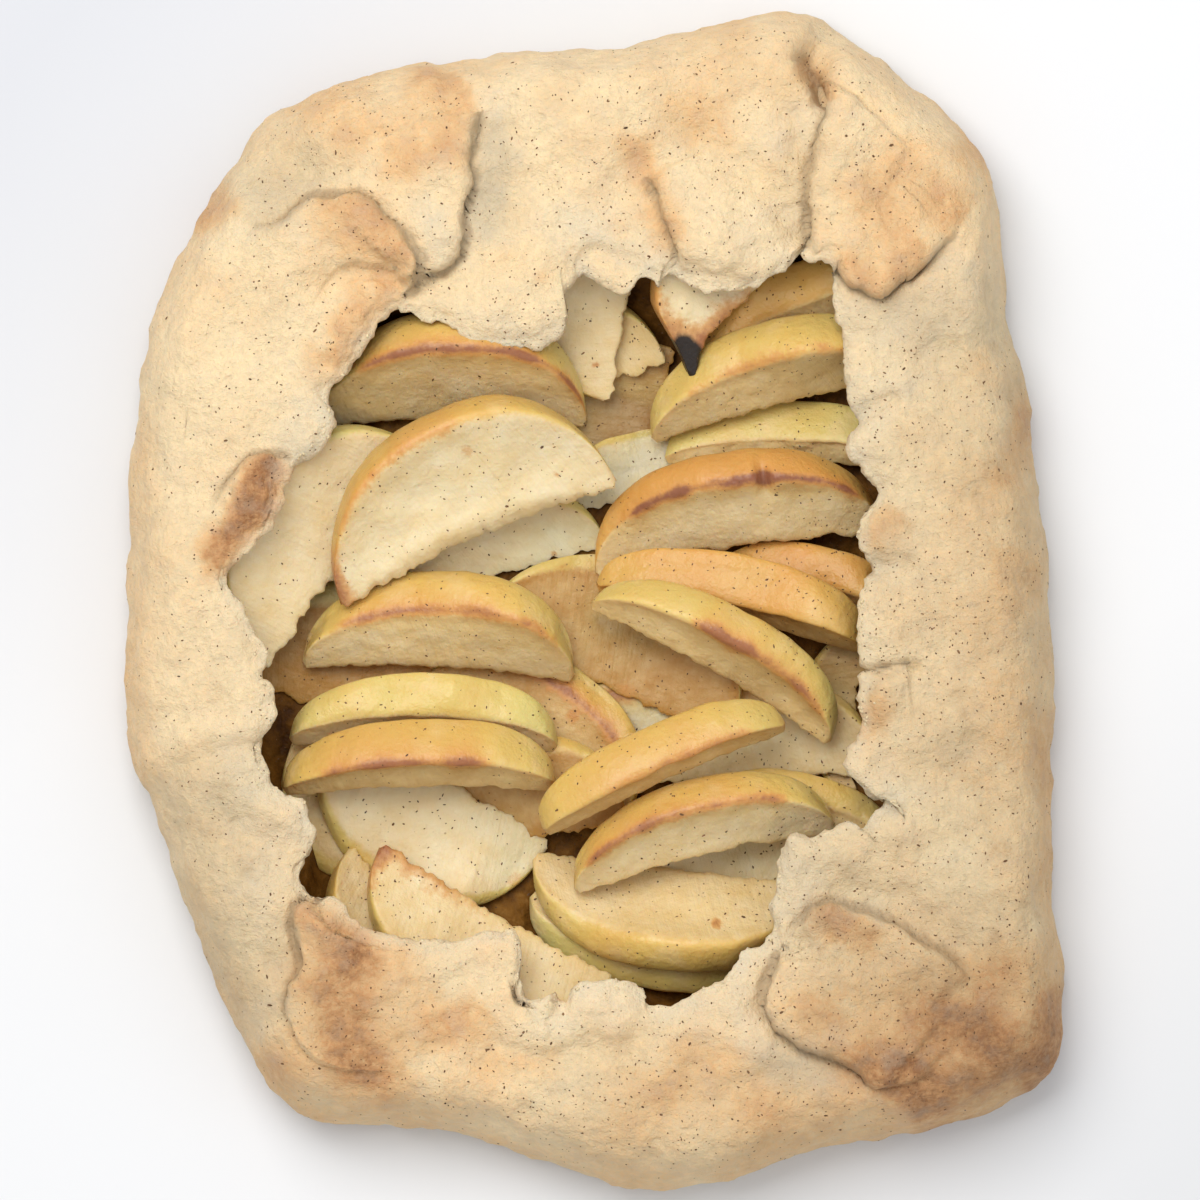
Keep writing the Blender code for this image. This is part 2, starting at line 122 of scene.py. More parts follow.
def tubeObject(name, points, values, material):
    # a closed skin over a table of points, whose first and last rows each meet in one point;
    # values are tables that become the mesh's point attributes
    rows, columns = points.shape[:2]
    shape = bmesh.new()
    bmesh.ops.create_grid(shape, x_segments=columns, y_segments=rows - 1, size=1)
    wrapped = np.concatenate([points, points[:, :1]], 1).reshape(-1, 3) * mm
    for vertex, place in zip(shape.verts, wrapped.tolist()):
        vertex.co = place
    for key, table in values.items():
        layer = shape.verts.layers.float.new(key)
        spread = np.concatenate([table, table[:, :1]], 1).reshape(-1).tolist()
        for vertex, value in zip(shape.verts, spread):
            vertex[layer] = value
    bmesh.ops.remove_doubles(shape, verts=shape.verts, dist=1e-7)
    return finishPiece(name, shape, material)


def finishPiece(name, shape, material):
    bmesh.ops.recalc_face_normals(shape, faces=shape.faces)
    if shape.calc_volume(signed=True) < 0:
        bmesh.ops.reverse_faces(shape, faces=shape.faces)
    mesh = bpy.data.meshes.new(name)
    shape.to_mesh(mesh)
    shape.free()
    mesh.shade_smooth()
    mesh.materials.append(material)
    piece = bpy.data.objects.new(name, mesh)
    bpy.context.scene.collection.objects.link(piece)
    return piece


def feed(tree, socket, value):
    # the value is a number, a colour, or a socket to link from
    if isinstance(value, bpy.types.NodeSocket):
        tree.links.new(value, socket)
    else:
        socket.default_value = (*value, 1) if socket.type == "RGBA" else value


def addNode(tree, kind, inputs=None, **settings):
    made = tree.nodes.new(kind)
    for key, value in settings.items():
        setattr(made, key, value)
    for key, value in (inputs or {}).items():
        feed(tree, made.inputs[key], value)
    return made


def mathNode(tree, operation, first, second=0.0, third=0.0, clamp=False):
    return addNode(tree, "ShaderNodeMath", {0: first, 1: second, 2: third},
                   operation=operation, use_clamp=clamp).outputs[0]


def swayed(tree, value, field, amount, clamp=False):
    # the value, moved up and down by a field that averages a half
    away = mathNode(tree, "SUBTRACT", field, 0.5)
    return mathNode(tree, "MULTIPLY_ADD", away, amount, value, clamp)


def mixColour(tree, share, first, second, blend="MIX"):
    made = addNode(tree, "ShaderNodeMix", data_type="RGBA", blend_type=blend)
    for place, value in ((0, share), (6, first), (7, second)):
        feed(tree, made.inputs[place], value)
    return made.outputs[2]


def rampNode(tree, share, stops):
    made = addNode(tree, "ShaderNodeValToRGB", {0: share})
    ramp = made.color_ramp
    while len(ramp.elements) < len(stops):
        ramp.elements.new(1.0)
    for element, (place, colour) in zip(ramp.elements, stops):
        element.position = place
        element.color = (*colour, 1)
    return made.outputs[0]


def remap(tree, value, low, high, newLow=0.0, newHigh=1.0, kind="SMOOTHSTEP"):
    made = addNode(tree, "ShaderNodeMapRange", {0: value, 1: low, 2: high, 3: newLow, 4: newHigh},
                   interpolation_type=kind)
    return made.outputs[0]


def startGroup(name, inputs, outputs):
    group = bpy.data.node_groups.new(name, "ShaderNodeTree")
    for label, kind, value in inputs:
        socket = group.interface.new_socket(name=label, in_out="INPUT", socket_type=kind)
        if value is not None:
            socket.default_value = value
    for label, kind in outputs:
        group.interface.new_socket(name=label, in_out="OUTPUT", socket_type=kind)
    return group, group.nodes.new("NodeGroupInput").outputs, group.nodes.new("NodeGroupOutput").inputs


def mottleGroup():
    # soft uneven patches, from 0 to 1 and a half on average
    group, put, out = startGroup(
        "softMottle",
        [("Vector", "NodeSocketVector", None), ("Patch mm", "NodeSocketFloat", 5.0),
         ("Contrast", "NodeSocketFloat", 1.0)],
        [("Value", "NodeSocketFloat")])
    scale = mathNode(group, "DIVIDE", 1000.0, put["Patch mm"])
    field = addNode(group, "ShaderNodeTexNoise", {"Vector": put["Vector"], "Scale": scale,
                                                  "Detail": 4.0, "Roughness": 0.58})
    feed(group, out["Value"], swayed(group, 0.5, field.outputs[0], put["Contrast"], True))
    return group


def dustGroup():
    # fine dots of ground spice, too small to be pieces
    group, put, out = startGroup(
        "spiceDust",
        [("Vector", "NodeSocketVector", None), ("Spacing mm", "NodeSocketFloat", 2.0),
         ("Amount", "NodeSocketFloat", 0.4)],
        [("Mask", "NodeSocketFloat")])
    scale = mathNode(group, "DIVIDE", 1000.0, put["Spacing mm"])
    cells = addNode(group, "ShaderNodeTexVoronoi", {"Vector": put["Vector"], "Scale": scale,
                                                    "Randomness": 1.0})
    pick = addNode(group, "ShaderNodeSeparateColor", {0: cells.outputs["Color"]})
    size = mathNode(group, "MULTIPLY", pick.outputs[0], 0.16)
    dot = mathNode(group, "SUBTRACT", size, cells.outputs["Distance"])
    dot = remap(group, dot, 0.0, 0.05)
    chosen = mathNode(group, "LESS_THAN", pick.outputs[1], put["Amount"])
    feed(group, out["Mask"], mathNode(group, "MULTIPLY", dot, chosen))
    return group


softMottle, spiceDust = mottleGroup(), dustGroup()


def mottle(tree, vector, patch, contrast=1.0):
    values = {"Vector": vector, "Patch mm": patch, "Contrast": contrast}
    return addNode(tree, "ShaderNodeGroup", values, node_tree=softMottle).outputs[0]


def dust(tree, vector, spacing, amount):
    values = {"Vector": vector, "Spacing mm": spacing, "Amount": amount}
    return addNode(tree, "ShaderNodeGroup", values, node_tree=spiceDust).outputs[0]


def readValue(tree, name):
    return addNode(tree, "ShaderNodeAttribute", attribute_name=name).outputs["Fac"]


def newMaterial(name, roughness, **settings):
    material = bpy.data.materials.new(name)
    material.use_nodes = True
    tree = material.node_tree
    shader = tree.nodes["Principled BSDF"]
    shader.inputs["Roughness"].default_value = roughness
    for key, value in settings.items():
        shader.inputs[key.replace("_", " ")].default_value = value
    place = addNode(tree, "ShaderNodeTexCoord").outputs["Object"]
    return material, tree, shader, place


def bumpNode(tree, height, distance, strength=1.0, under=None):
    values = {"Height": height, "Distance": distance, "Strength": strength}
    if under is not None:
        values["Normal"] = under
    return addNode(tree, "ShaderNodeBump", values).outputs[0]


doughLook = {
    "flour": (0.73, 0.64, 0.475), "cream": (0.77, 0.60, 0.365), "gold": (0.71, 0.465, 0.235),
    "toast": (0.56, 0.30, 0.13), "brown": (0.31, 0.14, 0.055), "creaseBrownAndShade": (0.30, 0.20, 0.11),
    "dust": (0.20, 0.11, 0.05), "roughness": 0.7, "grain": (0.88, 1.28), "darkestDullAndShade": 0.74,
}


def doughMaterial():
    look = doughLook
    material, tree, shader, place = newMaterial(
        "bakedPastry", look["roughness"], Subsurface_Weight=0.18, Subsurface_Radius=(1.0, 0.55, 0.3),
        Subsurface_Scale=0.003, Specular_IOR_Level=0.35)
    toast, flour = readValue(tree, "toast"), readValue(tree, "flour")
    creaseBrownAndShade = readValue(tree, "creaseBrownAndShade")
    wide, patchy = mottle(tree, place, 22, 1.5), mottle(tree, place, 6, 1.6)
    fine = mottle(tree, place, 1.3, 1.4)
    # the browning breaks up into blotches and then into grains
    baked = swayed(tree, toast, wide, 0.22)
    uneven = mathNode(tree, "MULTIPLY_ADD", toast, 0.75, 0.14)
    baked = swayed(tree, baked, patchy, uneven)
    baked = swayed(tree, baked, fine, mathNode(tree, "MULTIPLY_ADD", toast, 0.65, 0.12), True)
    colour = rampNode(tree, baked, [(0.0, look["cream"]), (0.30, look["gold"]),
                                    (0.62, look["toast"]), (1.0, look["brown"])])
    # floury grain
    coarse = mathNode(tree, "MULTIPLY", mottle(tree, place, 2.6, 1.5), 0.14)
    grainy = mathNode(tree, "MULTIPLY_ADD", fine, 0.16, coarse)
    grainy = remap(tree, grainy, 0.0, 0.3, *look["grain"], "LINEAR")
    colour = mixColour(tree, 1.0, colour, grainy, "MULTIPLY")
    white = swayed(tree, flour, patchy, 0.9, True)
    colour = mixColour(tree, mathNode(tree, "MULTIPLY", white, 0.8), colour, look["flour"])
    # painted shade in the hollows and beside the flaps' steps, and duller baking, darken the colour where
    # this mask is high
    dullAndShade = readValue(tree, "dullAndShade")
    shaded = remap(tree, dullAndShade, 0.0, 1.0, 1.0, look["darkestDullAndShade"], "LINEAR")
    colour = mixColour(tree, 1.0, colour, shaded, "MULTIPLY")
    # painted shade, with a little real browning, at the foot of each flap's step and in the pinched pit
    colour = mixColour(tree, mathNode(tree, "MULTIPLY", creaseBrownAndShade, 0.65), colour, look["creaseBrownAndShade"])
    specks = dust(tree, place, 1.7, 0.22)
    small = dust(tree, place, 0.9, 0.16)
    specks = mathNode(tree, "MULTIPLY", mathNode(tree, "MAXIMUM", specks, small),
                      mathNode(tree, "MULTIPLY_ADD", dullAndShade, 0.35, 0.38))
    # drifts of finely ground spice
    drift = mathNode(tree, "MULTIPLY", remap(tree, mottle(tree, place, 7, 2.0), 0.5, 0.9),
                     remap(tree, fine, 0.35, 0.8, 0.1, 0.42))
    drift = mathNode(tree, "MULTIPLY", drift, mathNode(tree, "MULTIPLY_ADD", dullAndShade, 0.8, 0.12))
    specks = mathNode(tree, "MAXIMUM", specks, drift)
    colour = mixColour(tree, specks, colour, look["dust"])
    feed(tree, shader.inputs["Base Color"], colour)
    feed(tree, shader.inputs["Roughness"], remap(tree, fine, 0.2, 0.8, 0.62, 0.82))
    lumps = mottle(tree, place, 3.2, 1.0)
    crumb = addNode(tree, "ShaderNodeTexNoise", {"Vector": place, "Scale": 2100.0, "Detail": 3.0,
                                                 "Roughness": 0.65}).outputs[0]
    normal = bumpNode(tree, lumps, 0.0015, 0.65)
    normal = bumpNode(tree, fine, 0.0006, 0.7, normal)
    normal = bumpNode(tree, crumb, 0.0004, 0.8, normal)
    feed(tree, shader.inputs["Normal"], normal)
    return material


crust = {
    "dough": 4.5, "floor": 4.0, "rim": 36.0, "shoulder": 13.0, "lip": 1.9, "middle": (-6.0, -4.0),
    "sections": 640, "topRows": 88,
    # wall and hollow: how far in from the outline, and the share of the shoulder's height
    "wall": [(6, 0), (1.1, .08), (0, .28), (1.5, .54), (5.2, .80), (9.2, .925), (13, .97), (17, .985)],
    "hollow": [(13, .79), (7.5, .56), (6.5, .28), (10.5, .111)],
    "outline": [
        (110, 0), (109, 12), (108, 22), (106, 35), (104.5, 48), (103, 57), (100, 66), (99, 75),
        (98, 85), (96.5, 99), (92, 110), (83, 119), (70, 129.5), (58, 138.5), (53, 141),
        (48, 141.5), (40, 140.5), (30, 138.5), (20, 136.7), (10, 134), (0, 132.5), (-16, 132.7),
        (-29, 130), (-36, 128.8), (-41, 129.8), (-52, 127), (-62, 124), (-71, 120), (-80, 115),
        (-89.5, 100), (-95.5, 90), (-105.5, 70), (-109.5, 50), (-111.5, 30), (-112, 10),
        (-112.5, -10), (-112.5, -25), (-110, -42), (-106, -50), (-100, -69), (-93, -86),
        (-87, -100), (-80, -114), (-72, -122.5), (-60, -126), (-45, -126.5), (-30, -129),
        (-10, -136), (5, -140.5), (15, -141.8), (30, -140.5), (50, -133.5), (75, -128),
        (92, -124.5), (106, -117), (112.3, -109), (112.5, -92), (110.5, -70), (111, -55),
        (110, -42), (110.8, -20)],
    "mouth": [
        (63, 1), (64.5, 5), (67, 6.8), (65, 9.5), (62.5, 12), (62, 16), (64, 20.5), (66.8, 23.5),
        (66, 27.5), (64.5, 31), (62, 33.5), (60.5, 37), (62, 40), (63, 42.5), (61, 46), (60.5, 51),
        (60, 57), (60, 62), (58, 67), (56.5, 71.5), (57, 78.5), (54, 81.2), (51.5, 81), (49.5, 82.6),
        (47, 80.2), (44, 77.5), (40, 74.8), (35, 73.2), (29, 72.9), (24, 73.6), (20.5, 75.5),
        (18.5, 77.3), (15.5, 73.8), (13.5, 75.2), (11.5, 75.8), (8.5, 73.6), (6.5, 72.2),
        (3.5, 73.6), (1.2, 75), (-1.5, 76.5), (-3.5, 77.8), (-5.5, 76), (-7.5, 72.5), (-8.6, 69.5),
        (-6, 66), (-6.8, 63.5), (-9.5, 61.2), (-13, 59.4), (-18, 58.8), (-23, 59.3), (-27.5, 59.8),
        (-30, 61.5), (-32.5, 62.8), (-35.5, 65.3), (-39, 65.8), (-42, 66.3), (-45.5, 68.3),
        (-47.5, 69), (-50.5, 65.5), (-53.5, 62), (-56.5, 57.5), (-60.5, 52), (-63.5, 48.5),
        (-62.8, 43.5), (-63.8, 38.5), (-66.5, 35), (-70, 33.2), (-72.2, 31), (-73.2, 27),
        (-75.8, 20.5), (-79.5, 15), (-84, 9), (-87.5, 5), (-86.5, 2.5), (-84, -1), (-81.5, -6),
        (-78.5, -11.5), (-77.8, -15), (-79.8, -18.8), (-77, -20.8), (-75.8, -25), (-76.2, -30),
        (-79, -33), (-80, -36), (-78.5, -41), (-75.5, -46.3), (-70.5, -48.2), (-67.8, -51),
        (-66.2, -56.5), (-67.5, -60), (-69.2, -63), (-69, -67.5), (-67, -71), (-62, -71),
        (-58.5, -74.5), (-54.5, -79), (-50, -80.8), (-43, -81.8), (-36, -81.8), (-29, -81),
        (-23.5, -80), (-19.5, -79.6), (-17.8, -84), (-17.2, -90), (-16, -95), (-12.5, -95.6),
        (-9, -94), (-7, -96.5), (-5.5, -93), (-2, -91.2), (3, -90.8), (8, -91.5), (11.5, -94),
        (13.5, -97.3), (17, -97.8), (21, -96.8), (25.5, -94), (30.5, -91.5), (33.5, -88),
        (36, -83.5), (40, -82.2), (42.3, -80), (42, -75), (43.3, -69), (44.2, -63), (46.5, -58),
        (51, -56.8), (56.5, -55.8), (61.5, -53.8), (64, -55.2), (66.5, -52), (70.2, -48.3),
        (66.5, -46.8), (63, -44), (60, -41.5), (60.2, -37), (62.8, -33.8), (64, -29), (63.6, -23),
        (64.8, -18.3), (66.8, -17.6), (65, -16), (63.8, -11), (63.2, -5)],
    # a raised flap on the left of each line: the line, its height, and how far back it fades
    "folds": {
        "topLeftFlap": ([(-45, 72.5), (-41.5, 75.3), (-37.5, 77.6), (-33.6, 79.9), (-31, 83),
                         (-30.2, 87.5), (-31, 92), (-29.3, 96.5), (-28.6, 101), (-29.8, 104.5),
                         (-28.6, 108.5), (-27.6, 114), (-28.2, 120), (-31, 124.6), (-36, 127.6),
                         (-42, 131)], 4.6, 32),
        "leftLobe": ([(-46.5, 71), (-42.8, 74.5), (-41, 78.5), (-42.5, 83), (-45.5, 87.5),
                      (-50, 91.5), (-54, 95.5), (-59, 97), (-64, 96.6), (-68.5, 96.2), (-72, 92.8),
                      (-76, 89.8), (-82, 89), (-90, 85)], 5.0, 26),
        "topLobe": ([(12, 102), (15.5, 95), (17.6, 88.5), (19.6, 83), (19, 77)], 3.0, 24),
        "topRightFlap": ([(46, 139), (51.5, 130), (55, 123), (56.2, 116.5), (54, 111.5),
                          (52, 105.5), (50.6, 98.5), (51, 92), (51, 86.5), (51.5, 82.5),
                          (54.5, 80.4), (58, 79), (60, 75.8), (63.5, 73.8), (67, 72.2), (70.5, 72.8),
                          (74, 75.8), (78.5, 78.5), (82.5, 83.2), (86.5, 87.6), (89.8, 92), (94, 98)],
                         5.4, 30),
        "brownLobe": ([(-71.5, 31.5), (-75, 34), (-80, 34.6), (-86, 30), (-93, 20)], 2.4, 16),
        "cornerFlapEnd": ([(43.5, -83), (43.3, -88), (41.2, -91.5), (40.4, -96), (42.2, -101.5),
                           (46.5, -106), (52, -109.4), (58, -111.2), (63, -113.6), (67, -117.2),
                           (71.5, -121), (77, -125.5)], 5.0, 32),
        "cornerFlapTop": ([(92, -92), (84, -85), (77, -80.5), (70.5, -76.8), (64.5, -74.6),
                           (58.5, -73.2), (53, -74.2), (48.5, -78), (44.5, -83)], 4.6, 15),
        "lowerLeftFlap": ([(-66, -70.8), (-71, -73.6), (-72.6, -78.5), (-71.4, -84), (-70.6, -89),
                           (-73, -94), (-74.2, -100), (-74.6, -106), (-78, -112), (-82, -118)],
                          4.6, 32),
        "middleTear": ([(-8, -97), (-12.5, -95.5), (-15.5, -97.2), (-18.5, -95.5), (-21, -90)],
                       1.6, 12),
        "rightLobe": ([(76, -15.8), (71, -16.6), (65, -17.4)], 2.0, 14),
    },
    # soft valleys and ridges: the line, how wide, and how high
    "creases": [
        ([(-101, -52), (-90, -54), (-80, -57), (-71, -61)], 4.5, -2.2),
        ([(-96, -82), (-86, -84), (-77, -88)], 4, -1.8),
        ([(-104, -30), (-94, -27), (-84, -25)], 4, -1.2),
        ([(-99, -40), (-90, -37), (-81, -34.5)], 3, -1.6), ([(-97, -70), (-86, -70), (-76, -74)], 5, 1.4),
        ([(21, 113), (29, 107), (38, 101), (45, 95), (49, 88)], 4, -2.4),
        ([(46, 137), (50, 130.5), (53.2, 124.5), (55, 119.5)], 2.4, -10),
        ([(47.5, 116), (50, 108)], 4, -1.8), ([(-70, 112), (-74, 104), (-79, 98), (-88, 94)], 6, -4.5),
        ([(11, -95), (13, -101), (9.5, -107), (8, -113)], 3, -2.0),
        ([(-24, -109), (-12, -111), (0, -108)], 4, -1.8),
        ([(60, -70.5), (68, -71.3), (76, -75), (84, -80.5), (90, -85)], 3.5, -1.6),
        ([(77, -17), (71, -17.6), (66, -18)], 1.3, -2.6), ([(72, 48), (67, 45.5), (63, 43.5)], 2, -2.2),
        ([(75, 8), (70, 7.5), (66, 6.8)], 2.2, -2.2), ([(92, -36), (82, -42), (70, -40)], 5, -2.0),
        ([(90, 45), (82, 55), (72, 62)], 6, -1.8), ([(62, 63), (68, 66), (78, 70)], 4, -1.4),
        ([(-9, 104), (-18, 96), (-24, 86)], 6, -2.2), ([(-22, 120), (-23, 108), (-25, 94)], 3.5, -1.6),
        ([(10, 74), (14, 82), (10, 90)], 4, 1.2), ([(-8, 78), (0, 82.5), (9, 80)], 2.5, -1.8),
        ([(28, -95), (34, -100), (38, -108)], 5, 1.8), ([(0, -96), (4, -101)], 6, 2.0),
        ([(50, -60), (60, -60), (72, -56)], 5, 1.4), ([(76, -62), (88, -56), (98, -52)], 5, -1.2),
        ([(-38, 77), (-30, 78.5), (-20, 83)], 3, -1.4), ([(-47, 77.5), (-55, 78), (-64, 76)], 2.6, -1.8),
        ([(-50, 72), (-56, 69), (-61, 61)], 4, 1.6), ([(80, -84), (74, -90), (66, -92)], 5, 1.2),
    ],
    "lumps": [
        ([(-73, 104)], 9, -3.5), ([(-35.5, 86)], 7, 1.8), ([(32, 88)], 12, 3.0), ([(85, 56)], 11, -2.0),
        ([(-84, -94)], 7, -2.0), ([(-79, -101)], 5, -1.6), ([(68, 15)], 5, 1.8), ([(68, -26)], 6, 1.6),
        ([(67, -5)], 7, 1.2), ([(66, 36)], 6, 1.0), ([(62, -39)], 4, 0.8), ([(70, 98)], 14, 1.6),
        ([(-92, 4)], 12, 1.6), ([(-97, 30)], 9, -1.6), ([(0, 118)], 18, 1.8), ([(60, -96)], 12, 1.6),
        ([(-48, -98)], 14, 2.0), ([(28, -112)], 16, 1.6), ([(88, 10)], 15, 1.4), ([(-85, -22)], 7, 1.6),
        ([(-82, 24), (-88, 12)], 5, 1.8), ([(-55, 85)], 9, 1.8), ([(-57, 65)], 5, 1.6),
        ([(96, -46)], 8, -1.6), ([(12, 104)], 6, -2.0), ([(-74, -53)], 5, 1.6), ([(-64, -77)], 6, 1.6),
        ([(5, 97)], 6, -1.4), ([(-20, 70)], 9, 1.2), ([(84, 108)], 8, 1.4),
    ],
    "toast": [
        ([(-50, 73), (-57, 68), (-62, 60)], 4.8, 0.42), ([(-66, 57), (-62, 52)], 3.5, 0.20),
        ([(-60, 112), (-70, 119)], 6, 0.16), ([(-93, 92), (-88, 95)], 4, 0.34),
        ([(-92, 6)], 3.5, 0.25), ([(10, 108), (12, 102)], 4.6, 0.34), ([(15, 92), (17, 86)], 4.0, 0.30),
        ([(20, 116), (28, 113)], 5.5, 0.24), ([(28, 122)], 8, 0.12), ([(35, 133)], 6, 0.16),
        ([(51, 128), (55, 121)], 2.4, 0.34), ([(92, 108)], 5, 0.2),
        ([(71, 18), (68, 15)], 4.4, 0.36), ([(69, -26), (66, -31)], 3.6, 0.36),
        ([(103, 43), (104, 36), (100, 31)], 4.6, 0.32), ([(98, 8), (102, 2)], 5, 0.14),
        ([(99, -88), (94, -90)], 5, 0.20), ([(75, -113)], 3.6, 0.30),
        ([(110, -98), (111, -106), (105, -115)], 4.0, 0.30), ([(103, -108), (95, -112)], 7, 0.22),
        ([(18, -116), (22, -108), (28, -110)], 6, 0.22), ([(-56, -83)], 2, 0.30),
        ([(-50, -88), (-40, -92)], 5, 0.14), ([(-12, -111), (-24, -111)], 4.5, 0.14),
        ([(-9, -94.5)], 1.4, 0.85), ([(-77, -114)], 6, 0.20), ([(-12, 77)], 2.6, 0.20),
        ([(6, 88)], 3, 0.20),
        ([(40, -122), (50, -126), (56, -124)], 6, 0.16), ([(92, 58)], 4, 0.14),
        ([(108, -30), (110, -50), (109, -70)], 5, 0.14), ([(93, -44)], 6, 0.12),
    ],
    "flapToast": {
        "leftLobe": [([(-61, 90), (-53, 91), (-47, 85)], 8, 0.34), ([(-55, 83)], 6, 0.14)],
        "topLeftFlap": [([(-46, 105), (-37, 108)], 6, 0.26), ([(-40, 124), (-32, 120)], 6, 0.30),
                        ([(-33, 112)], 4, 0.20), ([(-54, 117)], 11, 0.10)],
        "topRightFlap": [([(62, 98), (67, 95), (71, 89)], 6, 0.24),
                         ([(63, 79), (69, 76.5), (76, 81)], 5, 0.32),
                         ([(83, 95), (87, 92)], 6, 0.32), ([(73, 104)], 7, 0.20)],
        "brownLobe": [([(-78, 31), (-80, 25), (-84, 18), (-90, 11)], 5.0, 0.95)],
        "cornerFlapTop": [([(56, -77), (62, -79), (66, -81.5)], 3.8, 0.42)],
        "cornerFlapEnd": [([(49, -97), (55, -99)], 5, 0.24), ([(84, -103), (93, -103)], 7, 0.36),
                          ([(68, -113), (80, -118)], 7, 0.28)],
        "lowerLeftFlap": [([(-69, -74), (-62, -79), (-57, -82)], 5, 0.34),
                          ([(-58, -90), (-61, -100), (-58, -109)], 8, 0.42),
                          ([(-37, -103), (-30, -101)], 6, 0.40), ([(-50, -115)], 7, 0.40)],
    },
    "broad": [
        ([(-60, -86), (-59, -108)], 15, 0.30), ([(-40, -104), (-30, -112)], 12, 0.12),
        ([(80, -98), (98, -106)], 17, 0.34), ([(62, -112), (84, -120)], 10, 0.34),
        ([(10, -120), (40, -122)], 14, 0.12), ([(-55, 85)], 16, 0.06), ([(72, 98), (84, 104)], 16, 0.10),
        ([(-52, 112), (-38, 112)], 13, 0.10), ([(26, 118)], 20, 0.07), ([(92, 30), (96, -40)], 14, 0.10),
        ([(-110, 30), (-111, -40)], 6, 0.06),
    ],
    # where the crust is darker: in part duller baking, in part painted shade in the hollows and beside the
    # flaps' steps, and darker over the right side and the lower corners
    "dullAndShade": [
        ([(96, 62), (100, 10), (98, -50), (100, -100)], 20, 0.75),
        ([(70, 40), (72, 10), (72, -30)], 12, 0.35),
        ([(-92, -50), (-86, -90)], 17, 0.65), ([(60, -66), (66, -100)], 20, 0.65),
        ([(95, -108)], 20, 0.7),
        ([(0, -122), (40, -126)], 16, 0.35), ([(-62, -104)], 20, 0.4), ([(-72, 104), (-80, 96)], 10, 0.6),
        ([(-24, 112), (-24, 92)], 5, 0.7), ([(46, 106), (48, 92)], 6, 0.3),
        ([(40, -110), (50, -116)], 6, 0.3),
        ([(76, 64)], 8, 0.3), ([(-98, -20), (-100, 40)], 9, 0.15), ([(-68, 36)], 6, 0.2),
    ],
    "rough": [
        ([(-78, 30), (-90, 11)], 7, 1), ([(-58, 60), (-50, 74)], 8, 1),
        ([(-33, 112), (-35, 84)], 10, 0.6),
        ([(66, 80), (60, 100)], 10, 0.5), ([(-60, -80), (-58, -104)], 12, 0.6),
    ],
    # the pinched pit, where shade is painted into the colour
    "pinch": [([(50, 130), (53.4, 124.5), (55.3, 119.5)], 1.5, 1.0)],
    "flour": [
        ([(-24, 116), (-24, 104), (-26, 90)], 5, 0.55), ([(-38, 90), (-36, 84)], 6, 0.45),
        ([(-68, 46), (-72, 40), (-68, 36)], 6, 0.45), ([(42, 110), (50, 112), (54, 116)], 5, 0.45),
        ([(40, 88), (46, 84)], 8, 0.25), ([(-2, 88), (6, 84), (14, 80)], 6, 0.45),
        ([(-10, 92), (0, 94)], 8, 0.25), ([(68, 66), (80, 68), (88, 78)], 8, 0.40),
        ([(66, 46), (72, 52)], 7, 0.35), ([(64, 36)], 6, 0.25), ([(70, 8), (74, 6)], 5, 0.30),
        ([(-86, -36), (-82, -46), (-74, -54)], 8, 0.40), ([(-80, -66), (-78, -74)], 7, 0.35),
        ([(-80, 96), (-74, 92)], 7, 0.35), ([(66, -44), (74, -48)], 5, 0.40),
        ([(50, -66), (48, -74)], 7, 0.40),
        ([(60, -73), (68, -75)], 3, 0.45), ([(36, -88), (36, -100), (44, -110), (54, -114)], 6, 0.50),
        ([(0, -96), (6, -98)], 6, 0.40), ([(22, -100)], 6, 0.30), ([(-14, -100), (-6, -102)], 4, 0.35),
        ([(64, -52), (70, -50)], 4, 0.35), ([(-76, -88), (-78, -98), (-80, -106)], 5, 0.20),
        ([(-28, 66), (-14, 63)], 4, 0.25), ([(88, -38)], 8, 0.15),
    ],
}


def raggedLine(points):
    # a fold's edge, with the small unevenness of torn dough
    line = throughPoints(points, 7, False)
    along = np.gradient(line, axis=0)
    normal = np.stack([-along[:, 1], along[:, 0]], 1) / np.hypot(*along.T)[:, None]
    return line + normal * (0.55 * flatNoise(*line.T, 3.4, 30) + 0.3 * flatNoise(*line.T, 1.6, 31))[:, None]


def foldHeights(x, y, folds):
    # what the flaps add to the height, and how near a point is to the foot and the lip of a step
    rise, foot, lip = (np.zeros(np.shape(x)) for _ in range(3))
    for points, height, reach in folds.values():
        line = raggedLine(points)
        low, high = line.min(0) - reach - 4, line.max(0) + reach + 4
        near = (x > low[0]) & (x < high[0]) & (y > low[1]) & (y < high[1])
        away, along = awayFrom(x[near], y[near], line)
        ends = smoothStep(along, 0, 0.08) * (1 - smoothStep(along, 0.78, 1))
        back = np.clip(1 - away / reach, 0, 1)
        edge = np.sqrt(np.clip(1 - (1 - np.clip(away, 0, 2.2) / 2.2) ** 2, 0, 1))
        rise[near] += height * ends * (edge * back * back * (3 - 2 * back))
        dip = np.exp(-(np.clip(-away, 0, 9) / 1.1) ** 2) * (away < 0)
        rise[near] -= 0.22 * height * ends * dip
        foot[near] = np.maximum(foot[near], ends * np.exp(-((away + 0.3) / 0.75) ** 2))
        lip[near] = np.maximum(lip[near], ends * np.exp(-((away - 2.2) / 2.4) ** 2))
    return rise, foot, lip


